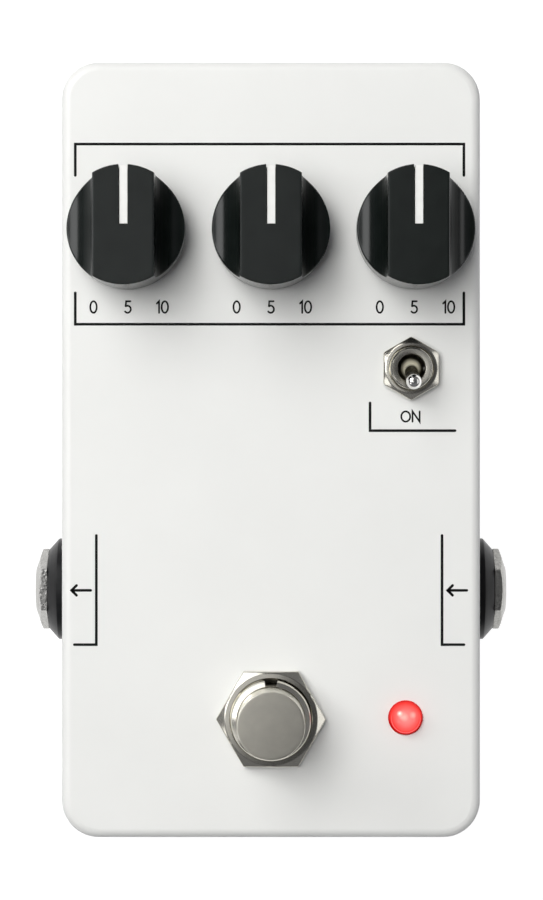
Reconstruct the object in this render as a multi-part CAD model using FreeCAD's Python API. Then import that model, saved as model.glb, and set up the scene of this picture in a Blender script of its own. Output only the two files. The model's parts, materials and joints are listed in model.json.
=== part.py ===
"""Tape echo pedal: a die-cast box with three knobs, a toggle, a lamp, a foot switch and three sockets.

Millimetres. X points right, Y to the rear, Z up. The origin lies on the ground under the box's centre.
"""
import FreeCAD, Part
import math
import os

V = FreeCAD.Vector
UP = V(0, 0, 1)

# Enclosure
box_width = 66.0
box_length = 120.2
box_height = 39.2
joint_height = 4.0
side_lean = 1.3
corner_radius = 5.6
top_edge_radius = 1.4
wall = 2.2
roof = 2.4
lip = 1.15
lip_gap = 0.1
tongue = 1.4
post_radius = 4.4
post_inset = 6.2
post_hole_depth = 14.0
thread_gap = 0.05
nut_crown_deg = 30.0

# Base plate and its screws
plate_floor = 2.2
plate_edge_chamfer = 0.7
pad_gap = 0.2
screw_radius = 1.7
screw_length = 12.0
screw_head_radius = 3.4
screw_head_height = 1.9
screw_recess = 0.1
screw_slot_width = 0.9
screw_slot_depth = 1.1
screw_slot_length = 4.2
plate_hole_gap = 0.25

# Circuit boards
board = 1.6
board_side_gap = 1.0
board_front_gap = 2.0
board_post_gap = 2.5
board_rear_inset = 4.6
board_edge = 2.0
lead = 0.6
lead_gap = 0.15
lead_tail = 1.0

# Rotary controls
knob_side_inset = 11.3
knob_row_inset = 27.0
control_names = ("mix", "speed", "repeats")
pot_width = 9.8
pot_length = 11.6
pot_rear = 5.1
pot_height = 6.0
pot_cavity_radius = 4.5
pot_cavity_floor = 1.2
pot_frame = 0.8
pot_leg_width = 2.2
pot_bushing_radius = 3.5
pot_bushing_height = 3.6
pot_terminal_spacing = 2.5
pot_terminal_reach = 1.4
panel_gap = 0.1
nut_gap = 0.05
pot_washer_radius = 5.5
pot_washer = 0.5
pot_nut_flats = 10.0
pot_nut_crown = 4.85
pot_nut = 2.0
shaft_radius = 3.0
shaft_fit = 0.05
shaft_top = 13.3
shaft_flat = 1.5
shaft_flat_length = 9.0
shaft_disc_radius = 4.2
shaft_disc = 1.0
shaft_disc_gap = 0.3

# Knobs
knob_radius = 8.85
knob_base = 1.0
knob_height = 15.4
knob_bar_width = 9.1
knob_cove_radius = 4.3
knob_cove_depth = 8.9
knob_edge_chamfer = 0.35
knob_skirt = 1.5
knob_hollow = 4.8
knob_hub_radius = 4.4
knob_hub_gap = 0.5
knob_bore_gap = 0.02
knob_rib = 0.8
knob_rib_count = 6
knob_rib_root = 0.3
knob_bar_wall = 1.6
knob_bar_roof = 1.8
pointer_width = 1.35
pointer_depth = 0.6
pointer_drop = 6.0

# Toggle switch
toggle_side_inset = 11.8
toggle_row_gap = 20.78
toggle_body_width = 6.8
toggle_body_length = 12.7
toggle_body_height = 8.6
toggle_plate = 1.0
toggle_strap = 0.5
toggle_strap_width = 5.0
toggle_strap_length = 6.0
toggle_bushing_radius = 3.175
toggle_bushing_rise = 3.4
toggle_bushing_chamfer = 0.3
toggle_bore_radius = 2.3
toggle_cavity_length = 8.0
toggle_cavity_depth = 6.0
toggle_lock_washer = 0.8
toggle_lock_washer_radius = 5.2
toggle_nut_flats = 8.5
toggle_nut_crown = 3.85
toggle_nut = 2.0
toggle_pin_radius = 0.5
toggle_pin_fit = 0.02
toggle_pin_inset = 0.2
toggle_pivot_depth = 1.0
toggle_pitch = 4.7
lever_ball_radius = 1.95
lever_neck_radius = 0.95
lever_tip_radius = 1.2
lever_length = 13.2
lever_tail_radius = 0.8
lever_tail = 4.7
lever_lean_deg = 10.5

# Foot switch
foot_inset = 19.4
foot_bushing_radius = 6.0
foot_bushing_rise = 5.4
foot_bushing_top_chamfer = 0.5
foot_key_width = 1.9
foot_key_depth = 0.75
foot_nut_flats = 14.4
foot_nut_crown = 6.97
foot_nut = 2.5
foot_washer = 0.6
foot_washer_radius = 8.2
foot_lock_nut_flats = 14.0
foot_lock_nut_crown = 6.8
foot_lock_nut = 2.0
foot_bushing_stub = 2.2
foot_counterbore_depth = 3.2
foot_body_size = 17.2
foot_body_height = 12.0
foot_frame = 1.0
foot_frame_drop = 9.0
plunger_radius = 5.05
plunger_fit = 0.1
plunger_rise = 14.6
plunger_travel = 3.5
plunger_floor_gap = 2.5
plunger_chamfer = 0.2
plunger_flange = 0.45
plunger_flange_height = 1.2
plunger_flange_gap = 0.1
plunger_bore_radius = 3.3
plunger_cap = 8.3
spring_radius = 2.6
spring_wire = 0.6
spring_turns = 5
lug_pitch = 4.9
lug_width = 1.9
lug_thickness = 0.7
lug_length = 4.6
foot_board_drop = 2.4
foot_board_margin = 0.4

# Header between the two boards
header_pin_count = 5
header_pitch = 2.54
header_width = 2.5
header_lamp_gap = 4.75
header_rear_gap = 1.6

# Lamp
led_side_inset = 12.6
led_front_inset = 19.5
led_radius = 2.5
led_rise = 2.6
led_length = 8.6
led_flange_radius = 2.9
led_flange = 1.0
led_hole_gap = 0.15
led_pitch = 2.54
led_spacer_bore = 2.1

# Signal jacks
jack_foot_gap = 18.8
jack_width = 15.6
jack_height = 12.4
jack_depth = 24.0
jack_wall_gap = 0.4
jack_nose_radius = 4.75
jack_nose_flat_radius = 3.4
jack_bore_radius = 3.25
jack_bore_length = 8.3
jack_chamber = 8.4
jack_end_wall = 1.4
jack_hole_gap = 0.15
jack_washer_radius = 7.94
jack_washer_outer_radius = 6.3
jack_washer = 2.44
jack_washer_rim = 0.9
jack_nut_flats = 11.0
jack_nut_crown = 4.8
jack_nut = 1.49
jack_dome_deg = 20.0
spring_leaf = 0.4
spring_leaf_width = 2.4
spring_leaf_bump = 1.1
jack_edge_chamfer = 0.5

# Power jack
power_width = 9.6
power_depth = 12.8
power_axis_drop = 6.2
power_barrel_radius = 5.3
power_nose_inset = 0.2
power_seat_gap = 0.4
power_mouth_radius = 3.25
power_mouth_depth = 2.6
power_socket_radius = 2.85
power_socket_depth = 11.0
power_pin_radius = 1.05
power_pin_tip_gap = 0.2
power_pin_shoulder = 0.25
power_hole_gap = 0.2
power_leaf = 0.4

# Parts on the underside of the main board
chip_length = 10.3
chip_width = 7.5
chip_height = 2.4
chip_standoff = 0.3
chip_pitch = 1.27
chip_pin_count = 8
chip_leg_width = 0.45
chip_leg = 0.3
chip_leg_root = 0.1
chip_leg_reach = 1.4
chip_row_gap = 19.1
chip_xs = (-12.0, 6.0)
can_radius = 2.5
can_height = 6.2
can_foot = 0.8
can_foot_margin = 0.15
can_places = ((-22.5, -30.1), (-22.5, -22.1), (-22.5, 4.9), (-12.0, -7.1), (11.0, -7.1))
film_length = 7.2
film_width = 3.0
film_height = 6.5
film_chamfer = 0.3
film_xs = (-16.0, -4.0, 8.0)
resistor_length = 3.2
resistor_width = 1.6
resistor_height = 0.6
resistor_pitch = 4.0
resistor_row_gap = 29.6
resistor_count = 6
regulator_pot_offset = 9.7
regulator_row_gap = 3.5
regulator_length = 6.5
regulator_width = 3.5
regulator_height = 1.6
regulator_tab = 1.75

# Heights that follow from the sizes above
lean_slope = side_lean / (box_height - joint_height)
ceiling = box_height - roof
toggle_body_top = ceiling - toggle_lock_washer - toggle_plate
board_top = toggle_body_top - toggle_body_height
board_bottom = board_top - board
tail_bottom = board_bottom - lead_tail
knob_bottom = box_height + knob_base
knob_top = knob_bottom + knob_height
pot_top = ceiling - pot_frame
pot_bottom = pot_top - pot_height
pot_bushing_top = box_height + pot_bushing_height
shaft_end = box_height + shaft_top
pivot_z = box_height - toggle_pivot_depth
foot_lock_bottom = ceiling - foot_washer - foot_lock_nut
foot_frame_top = foot_lock_bottom - foot_bushing_stub
foot_body_top = foot_frame_top - foot_frame
foot_body_bottom = foot_body_top - foot_body_height
flange_top = foot_frame_top + foot_counterbore_depth
flange_bottom = flange_top - plunger_flange_height
foot_cavity_floor = flange_bottom - plunger_travel - plunger_floor_gap
foot_board_top = foot_body_bottom - foot_board_drop
led_bottom = box_height + led_rise - led_length
jack_z = board_bottom - jack_height / 2
power_z = board_bottom - power_axis_drop

# Radii that follow from a fit
foot_bore_radius = plunger_radius + plunger_fit
flange_radius = plunger_radius + plunger_flange
foot_cavity_radius = flange_radius + plunger_flange_gap
led_hole_radius = led_radius + led_hole_gap

# Places on the plan that follow from the box's outline
knob_y = box_length / 2 - knob_row_inset
knob_xs = (knob_side_inset - box_width / 2, 0.0, box_width / 2 - knob_side_inset)
knob_places = tuple((x, knob_y) for x in knob_xs)
post_x = box_width / 2 - post_inset
post_y = box_length / 2 - post_inset
post_places = ((post_x, post_y), (-post_x, post_y), (-post_x, -post_y), (post_x, -post_y))
toggle_x = box_width / 2 - toggle_side_inset
toggle_y = knob_y - toggle_row_gap
foot_y = foot_inset - box_length / 2
led_x = box_width / 2 - led_side_inset
led_y = led_front_inset - box_length / 2
board_front_y = foot_y + foot_body_size / 2 + board_front_gap
header_x = led_x - header_lamp_gap
header_y = board_front_y - header_rear_gap - header_pin_count * header_pitch / 2
jack_y = foot_y + jack_foot_gap
power_nose_end = box_length / 2 - power_nose_inset


def wall_face(half_size, z):
    """Distance from the centre to the outside of a side of the box at height z."""
    return half_size - lean_slope * (z - joint_height)


def jack_dome(radius):
    """Height of the dome over a signal jack's nut and nose, above the nut's crown, at a radius."""
    return (jack_nut_crown - radius) * math.tan(math.radians(jack_dome_deg))


board_half_width = wall_face(box_width / 2 - wall, board_bottom) - board_side_gap
jack_washer_face = wall_face(box_width / 2, jack_z) + jack_washer
jack_nose_end = jack_washer_face + jack_nut + jack_dome(jack_nose_flat_radius)
jack_bore_start = jack_nose_end - jack_bore_length
jack_body_end = wall_face(box_width / 2 - wall, board_bottom) - jack_wall_gap
jack_body_start = jack_body_end - jack_depth
power_body_end = wall_face(box_length / 2 - wall, board_bottom) - power_seat_gap


def block(x0, x1, y0, y1, z0, z1):
    """Box between two corners."""
    return Part.makeBox(x1 - x0, y1 - y0, z1 - z0, V(x0, y0, z0))


def block_at(x, y, width, length, z0, z1):
    """Box centred on x, y."""
    return block(x - width / 2, x + width / 2, y - length / 2, y + length / 2, z0, z1)


def rod(radius, x, y, z0, z1):
    """Upright cylinder."""
    return Part.makeCylinder(radius, z1 - z0, V(x, y, z0))


def ring(outer, inner, x, y, z0, z1):
    """Upright tube."""
    return rod(outer, x, y, z0, z1).cut(rod(inner, x, y, z0, z1))


def turned(profile, x, y):
    """Solid of revolution about the upright axis at x, y; the profile holds (radius, height) pairs."""
    points = [V(x + r, y, z) for r, z in profile]
    face = Part.Face(Part.makePolygon(points + points[:1]))
    return face.revolve(V(x, y, 0), UP, 360)


def hexagon(flats, x, y, z0, z1, corner_deg):
    """Upright hexagonal prism with one corner in the given direction."""
    radius = flats / 2 / math.cos(math.pi / 6)
    angles = [math.radians(corner_deg + 60 * i) for i in range(6)]
    points = [V(x + radius * math.cos(a), y + radius * math.sin(a), z0) for a in angles]
    return Part.Face(Part.makePolygon(points + points[:1])).extrude(V(0, 0, z1 - z0))


def hex_nut(flats, crown, bore, x, y, z0, z1, corner_deg, crown_deg=nut_crown_deg):
    """Hexagonal nut whose corners are turned down to a cone outside the crown's radius."""
    prism = hexagon(flats, x, y, z0, z1, corner_deg)
    reach = flats / 2 / math.cos(math.pi / 6)
    drop = (reach - crown) * math.tan(math.radians(crown_deg))
    blank = turned([(0, z0), (reach, z0), (reach, z1 - drop), (crown, z1), (0, z1)], x, y)
    return prism.common(blank).cut(rod(bore, x, y, z0, z1))


def joined(shapes):
    """One solid from touching or overlapping solids, without the seams between them."""
    return shapes[0].fuse(shapes[1:]).removeSplitter()


def along_x(shape):
    """Turn an upright shape so that its +Z points along +X."""
    return shape.rotated(V(0, 0, 0), V(0, 1, 0), 90)


def along_y(shape):
    """Turn an upright shape so that its +Z points along +Y."""
    return shape.rotated(V(0, 0, 0), V(1, 0, 0), -90)


def edges_at(shape, z):
    """Edges that lie in the level plane at height z."""
    return [e for e in shape.Edges if abs(e.BoundBox.ZMin - z) < 1e-4 and abs(e.BoundBox.ZMax - z) < 1e-4]


def save(node, *solids):
    """Write one node from one or more separate solids."""
    shape = solids[0] if len(solids) == 1 else Part.makeCompound(list(solids))
    shape.exportStep(os.path.join("parts", node + ".step"))


def leaning_box(width, length, z0, z1, radius, slope):
    """Box with rounded upright edges whose sides lean in by the slope on the way up."""
    x, y, height = width / 2, length / 2, z1 - z0
    lean = slope * height
    wedge = Part.makeWedge(-x, 0, -y, lean - y, lean - x, x, height, y, y - lean, x - lean)
    wedge.rotate(V(0, 0, 0), V(1, 0, 0), 90)
    wedge.translate(V(0, 0, z0))
    upright = [e for e in wedge.Edges if e.BoundBox.ZLength > height / 2]
    return wedge.makeFillet(radius, upright)


def enclosure_outside():
    """The cast box's outer form with its rounded top edge."""
    form = leaning_box(box_width, box_length, joint_height, box_height, corner_radius, lean_slope)
    return form.makeFillet(top_edge_radius, edges_at(form, box_height))


def enclosure():
    """Cast shell with a tongue round its rim, four tapped posts and the holes for the controls."""
    outside = enclosure_outside()
    inner_width, inner_length = box_width - 2 * wall, box_length - 2 * wall
    inner_radius = corner_radius - wall
    cavity = leaning_box(inner_width, inner_length, joint_height, ceiling, inner_radius, lean_slope)
    step = lip + lip_gap
    low = joint_height - tongue
    rim = leaning_box(box_width - 2 * step, box_length - 2 * step, low, joint_height, corner_radius - step, 0)
    rim = rim.cut(leaning_box(inner_width, inner_length, low, joint_height, inner_radius, 0))
    pads = [rod(post_radius + pad_gap, x, y, low, joint_height) for x, y in post_places]
    posts = [rod(post_radius, x, y, joint_height, ceiling).common(outside) for x, y in post_places]
    shell = joined([outside.cut(cavity), rim.cut(pads)] + posts)
    return shell.cut(panel_holes() + socket_holes() + post_holes())


def panel_holes():
    """Round holes through the top for the controls and the lamp."""
    z0, z1 = ceiling - 1, box_height + 1
    holes = [rod(pot_bushing_radius + panel_gap, x, y, z0, z1) for x, y in knob_places]
    holes.append(rod(toggle_bushing_radius + panel_gap, toggle_x, toggle_y, z0, z1))
    holes.append(rod(foot_bushing_radius + panel_gap, 0, foot_y, z0, z1))
    holes.append(rod(led_hole_radius, led_x, led_y, z0, z1))
    return holes


def socket_holes():
    """One hole through each long side for a signal jack and one through the rear for the power jack."""
    signal = along_x(rod(jack_nose_radius + jack_hole_gap, 0, 0, -box_width, box_width))
    power = along_y(rod(power_barrel_radius + power_hole_gap, 0, 0, 0, box_length))
    return [signal.translated(V(0, jack_y, jack_z)), power.translated(V(0, 0, power_z))]


def post_holes():
    """Tapped holes in the four posts."""
    top = joint_height + post_hole_depth
    return [rod(screw_radius + thread_gap, x, y, joint_height, top) for x, y in post_places]


def base_plate():
    """Shallow cast tray that the box's tongue drops into, with raised pads under the posts."""
    tray = leaning_box(box_width, box_length, 0, joint_height, corner_radius, 0)
    tray = tray.makeChamfer(plate_edge_chamfer, edges_at(tray, 0))
    pocket = leaning_box(box_width - 2 * lip, box_length - 2 * lip, plate_floor, joint_height,
                         corner_radius - lip, 0)
    pads = [rod(post_radius, x, y, plate_floor, joint_height) for x, y in post_places]
    tray = joined([tray.cut(pocket)] + [pad.common(pocket) for pad in pads])
    return tray.cut([countersink(x, y) for x, y in post_places])


def countersink(x, y):
    """Clearance for a countersunk screw through the plate."""
    hole = screw_radius + plate_hole_gap
    head = screw_head_radius + plate_hole_gap
    return turned([(0, 0), (head, 0), (head, screw_recess), (hole, screw_head_height + screw_recess),
                   (hole, joint_height), (0, joint_height)], x, y)


def base_screw(x, y):
    """Countersunk screw with a cross recess, its head just under the plate's surface."""
    top = joint_height + screw_length - plate_floor
    head_top = screw_head_height + screw_recess
    body = turned([(0, screw_recess), (screw_head_radius, screw_recess), (screw_radius, head_top),
                   (screw_radius, top), (0, top)], x, y)
    slots = [block_at(x, y, screw_slot_length, screw_slot_width, 0, screw_recess + screw_slot_depth),
             block_at(x, y, screw_slot_width, screw_slot_length, 0, screw_recess + screw_slot_depth)]
    return body.cut(slots)


def main_board():
    """Circuit board under the controls, with a tongue to the power jack and one to the lamp."""
    post_clear_y = post_y - post_radius - board_post_gap
    post_clear_x = post_x - post_radius - board_post_gap
    low, high = board_bottom, board_top
    sheet = block(-board_half_width, board_half_width, board_front_y, post_clear_y, low, high)
    rear = block(-post_clear_x, post_clear_x, knob_y, box_length / 2 - board_rear_inset, low, high)
    front = block(header_x - board_edge, led_x + led_flange_radius + board_edge, -post_clear_y,
                  board_front_y, low, high)
    return joined([sheet, rear, front]).cut(board_holes())


def board_holes():
    """Square holes for every lead that passes through the main board."""
    places = pot_terminal_places() + toggle_terminal_places() + led_lead_places() + header_places()
    places += jack_pin_places() + power_pin_places()
    size = lead + 2 * lead_gap
    holes = [block_at(x, y, size, size, board_bottom, board_top) for x, y in places]
    for x, y in pot_leg_places():
        holes.append(block_at(x, y, pot_frame + 2 * lead_gap, pot_leg_width + 2 * lead_gap,
                              board_bottom, board_top))
    return holes


def pot_leg_places():
    """The two frame legs of each rotary control."""
    reach = (pot_width + pot_frame) / 2
    return [(x + side * reach, y) for x, y in knob_places for side in (-1, 1)]


def pot_terminal_places():
    """The three terminals in front of each rotary control."""
    front = pot_rear - pot_length - pot_terminal_reach
    return [(x + i * pot_terminal_spacing, y + front) for x, y in knob_places for i in (-1, 0, 1)]


def pot_housing(x, y):
    """Moulded body of a rotary control, with a round chamber for the wiper disc."""
    body = block(x - pot_width / 2, x + pot_width / 2, y + pot_rear - pot_length, y + pot_rear,
                 pot_bottom, pot_top)
    chamber = rod(pot_cavity_radius, x, y, pot_bottom + pot_cavity_floor, pot_top)
    return body.cut(chamber)


def pot_frame_and_bushing(x, y):
    """Metal top plate with the threaded bushing and two legs that reach through the board."""
    half = pot_width / 2 + pot_frame
    plate = block(x - half, x + half, y + pot_rear - pot_length, y + pot_rear, pot_top, ceiling)
    bushing = rod(pot_bushing_radius, x, y, ceiling, pot_bushing_top)
    legs = []
    for side in (-1, 1):
        leg_x = x + side * (pot_width + pot_frame) / 2
        legs.append(block_at(leg_x, y, pot_frame, pot_leg_width, tail_bottom, pot_top))
    frame = joined([plate, bushing] + legs)
    return frame.cut(rod(shaft_radius + shaft_fit, x, y, pot_top, pot_bushing_top))


def pot_terminals():
    """Bent terminals from the front of each rotary control down through the board."""
    arm_z = pot_bottom + pot_cavity_floor
    pins = []
    for x, y in pot_terminal_places():
        upright = block_at(x, y, lead, lead, tail_bottom, arm_z)
        arm = block(x - lead / 2, x + lead / 2, y - lead / 2, y + pot_terminal_reach, arm_z - lead, arm_z)
        pins.append(joined([upright, arm]))
    return pins


def pot_shaft(x, y):
    """Turned shaft with a wiper disc at its foot and a flat for the knob near its end."""
    disc_bottom = pot_bottom + pot_cavity_floor + shaft_disc_gap
    disc = rod(shaft_disc_radius, x, y, disc_bottom, disc_bottom + shaft_disc)
    shank = rod(shaft_radius, x, y, disc_bottom, shaft_end)
    return joined([disc, shank]).cut(shaft_flat_block(x, y, shaft_radius - shaft_flat))


def shaft_flat_block(x, y, offset):
    """Space beyond the shaft's flat, which faces the front."""
    reach = 2 * shaft_radius
    return block(x - reach, x + reach, y - reach, y - offset, shaft_end - shaft_flat_length, shaft_end + 1)


def knob_form(x, y):
    """Round knob whose sides are scooped out to leave a broad bar across its top."""
    form = rod(knob_radius, x, y, knob_bottom, knob_top)
    cove_z = knob_top - knob_cove_depth + knob_cove_radius
    half_bar = knob_bar_width / 2
    for side in (-1, 1):
        centre = V(x + side * (half_bar + knob_cove_radius), y - knob_radius, cove_z)
        scoop = Part.makeCylinder(knob_cove_radius, 2 * knob_radius, centre, V(0, 1, 0))
        near, far = sorted((x + side * half_bar, x + side * 2 * knob_radius))
        above = block(near, far, y - knob_radius, y + knob_radius, cove_z, knob_top)
        form = form.cut([scoop, above])
    return form.makeChamfer(knob_edge_chamfer, edges_at(form, knob_top) + edges_at(form, knob_bottom))


def pointer_groove(x, y):
    """Slot from the knob's centre to its rear edge and down the end of the bar."""
    reach = knob_radius + 1
    flat = block(x - pointer_width / 2, x + pointer_width / 2, y, y + reach,
                 knob_top - pointer_depth, knob_top)
    drop = block(x - pointer_width / 2, x + pointer_width / 2, y + knob_radius - pointer_depth, y + reach,
                 knob_top - pointer_drop, knob_top)
    return flat.fuse(drop)


def knob(x, y):
    """Moulded knob: skirt, hub with a D-shaped bore, ribs between them and pockets under the bar."""
    ceiling_z = knob_bottom + knob_hollow
    hub_bottom = pot_bushing_top + knob_hub_gap
    hollow = ring(knob_radius - knob_skirt, knob_hub_radius, x, y, hub_bottom, ceiling_z)
    mouth = rod(knob_radius - knob_skirt, x, y, knob_bottom, hub_bottom)
    form = knob_form(x, y).cut([mouth, hollow] + bar_pockets(x, y, ceiling_z))
    ribs = []
    for i in range(knob_rib_count):
        rib = block(x + knob_hub_radius - knob_rib_root, x + knob_radius - knob_skirt + knob_rib_root,
                    y - knob_rib / 2, y + knob_rib / 2, hub_bottom, ceiling_z + knob_rib_root)
        ribs.append(rib.rotated(V(x, y, 0), UP, (i + 0.5) * 360 / knob_rib_count))
    form = joined([form] + ribs)
    bore = rod(shaft_radius + knob_bore_gap, x, y, hub_bottom, shaft_end + shaft_disc_gap)
    bore = bore.cut(shaft_flat_block(x, y, shaft_radius - shaft_flat + knob_bore_gap))
    round_part = rod(shaft_radius + knob_bore_gap, x, y, hub_bottom, shaft_end - shaft_flat_length)
    return form.cut([bore, round_part, pointer_groove(x, y)])


def bar_pockets(x, y, ceiling_z):
    """Cored-out pockets under the two ends of the bar."""
    half = knob_bar_width / 2 - knob_bar_wall
    top = knob_top - knob_bar_roof
    space = ring(knob_radius - knob_skirt, knob_hub_radius, x, y, ceiling_z, top)
    pockets = []
    for side in (-1, 1):
        near, far = sorted((y, y + side * knob_radius))
        pockets.append(block(x - half, x + half, near, far, ceiling_z, top).common(space))
    return pockets


def pointer(x, y):
    """White strip set flush into the knob's slot."""
    return knob_form(x, y).common(pointer_groove(x, y))


def rotary_controls():
    """The three rotary controls with their knobs and the hardware that clamps them."""
    washers, nuts = [], []
    nut_bottom = box_height + pot_washer
    nut_top = nut_bottom + pot_nut
    for name, (x, y) in zip(control_names, knob_places):
        save(name + "_pot_housing", pot_housing(x, y))
        save(name + "_pot_frame", pot_frame_and_bushing(x, y))
        save(name + "_shaft", pot_shaft(x, y))
        save(name + "_knob", knob(x, y))
        save(name + "_pointer", pointer(x, y))
        bore = pot_bushing_radius + nut_gap
        washers.append(ring(pot_washer_radius, bore, x, y, box_height, nut_bottom))
        nuts.append(hex_nut(pot_nut_flats, pot_nut_crown, bore, x, y, nut_bottom, nut_top, 90))
    save("pot_terminals", *pot_terminals())
    save("pot_washers", *washers)
    save("pot_nuts", *nuts)


def toggle_terminal_places():
    """Three terminals in a row along the toggle's throw."""
    return [(toggle_x, toggle_y + i * toggle_pitch) for i in (-1, 0, 1)]


def toggle_body():
    """Moulded case of the toggle with the chamber that the lever's tail swings in."""
    case = block_at(toggle_x, toggle_y, toggle_body_width, toggle_body_length, board_top, toggle_body_top)
    chamber = block_at(toggle_x, toggle_y, 2 * toggle_bore_radius, toggle_cavity_length,
                       toggle_body_top - toggle_cavity_depth, toggle_body_top)
    return case.cut(chamber)


def toggle_bushing():
    """Threaded bushing on a plate that straps the case from both sides."""
    plate_top = toggle_body_top + toggle_plate
    half = toggle_body_width / 2
    plate = block_at(toggle_x, toggle_y, toggle_body_width + 2 * toggle_strap, toggle_body_length,
                     toggle_body_top, plate_top)
    tube_top = box_height + toggle_bushing_rise
    chamfer = toggle_bushing_chamfer
    tube = turned([(0, plate_top), (toggle_bushing_radius, plate_top),
                   (toggle_bushing_radius, tube_top - chamfer),
                   (toggle_bushing_radius - chamfer, tube_top), (0, tube_top)], toggle_x, toggle_y)
    straps = []
    for side in (-1, 1):
        strap_x = toggle_x + side * (half + toggle_strap / 2)
        straps.append(block_at(strap_x, toggle_y, toggle_strap, toggle_strap_width,
                               toggle_body_top - toggle_strap_length, toggle_body_top))
    frame = joined([plate, tube] + straps)
    bore = rod(toggle_bore_radius, toggle_x, toggle_y, toggle_body_top, tube_top)
    return frame.cut([bore, toggle_pin(toggle_pin_radius + toggle_pin_fit / 2)])


def toggle_pin(radius):
    """Pin across the bushing that the lever's ball turns on."""
    length = 2 * (toggle_bushing_radius - toggle_pin_inset)
    start = V(toggle_x - length / 2, toggle_y, pivot_z)
    return Part.makeCylinder(radius, length, start, V(1, 0, 0))


def toggle_lever():
    """Bat-shaped lever on a ball, with a tail into the case, leaning to the front."""
    ball = Part.makeSphere(lever_ball_radius, V(toggle_x, toggle_y, pivot_z))
    tip_z = pivot_z + lever_length
    shoulder = tip_z - lever_tip_radius
    bat = turned([(0, pivot_z), (lever_neck_radius, pivot_z), (lever_tip_radius, shoulder), (0, shoulder)],
                 toggle_x, toggle_y)
    cap = Part.makeSphere(lever_tip_radius, V(toggle_x, toggle_y, shoulder))
    tail = rod(lever_tail_radius, toggle_x, toggle_y, pivot_z - lever_tail, pivot_z)
    lever = ball.fuse([bat, cap, tail])
    lever = lever.cut(toggle_pin(toggle_pin_radius + toggle_pin_fit))
    return lever.rotated(V(toggle_x, toggle_y, pivot_z), V(1, 0, 0), lever_lean_deg)


def toggle_terminals():
    """Flat terminals from the case down through the board."""
    return [block_at(x, y, lead, lead, tail_bottom, board_top) for x, y in toggle_terminal_places()]


def toggle_switch():
    """The toggle with its nut, lock washer, pivot pin and lever."""
    nut_top = box_height + toggle_nut
    bore = toggle_bushing_radius + nut_gap
    save("toggle_body", toggle_body())
    save("toggle_bushing", toggle_bushing())
    save("toggle_terminals", *toggle_terminals())
    save("toggle_pivot_pin", toggle_pin(toggle_pin_radius))
    save("toggle_lever", toggle_lever())
    save("toggle_nut", hex_nut(toggle_nut_flats, toggle_nut_crown, bore, toggle_x, toggle_y,
                               box_height, nut_top, 90))
    save("toggle_lock_washer", ring(toggle_lock_washer_radius, bore, toggle_x, toggle_y,
                                    ceiling - toggle_lock_washer, ceiling))


def foot_bushing():
    """Threaded bushing with a locating groove, a bore for the plunger and a counterbore for its flange."""
    top = box_height + foot_bushing_rise
    edge = foot_bushing_top_chamfer
    tube = turned([(foot_bore_radius, flange_top), (foot_cavity_radius, flange_top),
                   (foot_cavity_radius, foot_frame_top), (foot_bushing_radius, foot_frame_top),
                   (foot_bushing_radius, top - edge), (foot_bushing_radius - edge, top),
                   (foot_bore_radius, top)], 0, foot_y)
    groove_y = foot_y + foot_bushing_radius
    groove = block_at(0, groove_y, foot_key_width, 2 * foot_key_depth, flange_top + foot_key_width / 2, top)
    return tube.cut(groove)


def foot_frame_plate():
    """Folded steel frame that carries the bushing and grips the moulded body from both sides."""
    half = foot_body_size / 2
    plate = block_at(0, foot_y, foot_body_size, foot_body_size, foot_body_top, foot_frame_top)
    sides = []
    for side in (-1, 1):
        inner, outer = sorted((side * (half - foot_frame), side * half))
        sides.append(block(inner, outer, foot_y - half, foot_y + half,
                           foot_body_top - foot_frame_drop, foot_body_top))
    frame = joined([plate] + sides)
    return frame.cut(rod(foot_cavity_radius, 0, foot_y, foot_body_top, foot_frame_top))


def foot_body():
    """Moulded body with the chamber under the plunger and shoulders under the frame's sides."""
    narrow = foot_body_size - 2 * foot_frame
    core = block_at(0, foot_y, narrow, foot_body_size, foot_body_bottom, foot_body_top)
    foot = block_at(0, foot_y, foot_body_size, foot_body_size, foot_body_bottom,
                    foot_body_top - foot_frame_drop)
    chamber = rod(foot_cavity_radius, 0, foot_y, foot_cavity_floor, foot_body_top)
    return joined([core, foot]).cut(chamber)


def foot_plunger():
    """Push button with a flange that stops it under the bushing and a bore for the return spring."""
    top = box_height + plunger_rise
    edge = plunger_chamfer
    return turned([(plunger_bore_radius, flange_bottom), (flange_radius, flange_bottom),
                   (flange_radius, flange_top), (plunger_radius, flange_top), (plunger_radius, top - edge),
                   (plunger_radius - edge, top), (0, top), (0, top - plunger_cap),
                   (plunger_bore_radius, top - plunger_cap)], 0, foot_y)


def foot_spring():
    """Return spring of square wire between the body and the roof of the plunger's bore."""
    low = foot_cavity_floor + spring_wire / 2
    high = box_height + plunger_rise - plunger_cap - spring_wire / 2
    path = Part.makeHelix((high - low) / spring_turns, high - low, spring_radius)
    half = spring_wire / 2
    corners = [V(spring_radius - half, 0, -half), V(spring_radius + half, 0, -half),
               V(spring_radius + half, 0, half), V(spring_radius - half, 0, half)]
    section = Part.makePolygon(corners + corners[:1])
    coil = Part.Wire(path).makePipeShell([section], True, True)
    return coil.translated(V(0, foot_y, low))


def lug_places():
    """Nine lugs in three rows."""
    steps = (-lug_pitch, 0, lug_pitch)
    return [(dx, foot_y + dy) for dx in steps for dy in steps]


def foot_board():
    """Small board on the foot switch's lugs that reaches sideways to the header beside the lamp."""
    top = foot_board_top
    half = foot_body_size / 2 + foot_board_margin
    sheet = block(-half, header_x + board_edge, foot_y - half, foot_y + half, top - board, top)
    slots = [block_at(x, y, lug_width + 2 * lead_gap, lug_thickness + 2 * lead_gap, top - board, top)
             for x, y in lug_places()]
    size = lead + 2 * lead_gap
    pins = [block_at(x, y, size, size, top - board, top) for x, y in header_places()]
    return sheet.cut(slots + pins)


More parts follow.
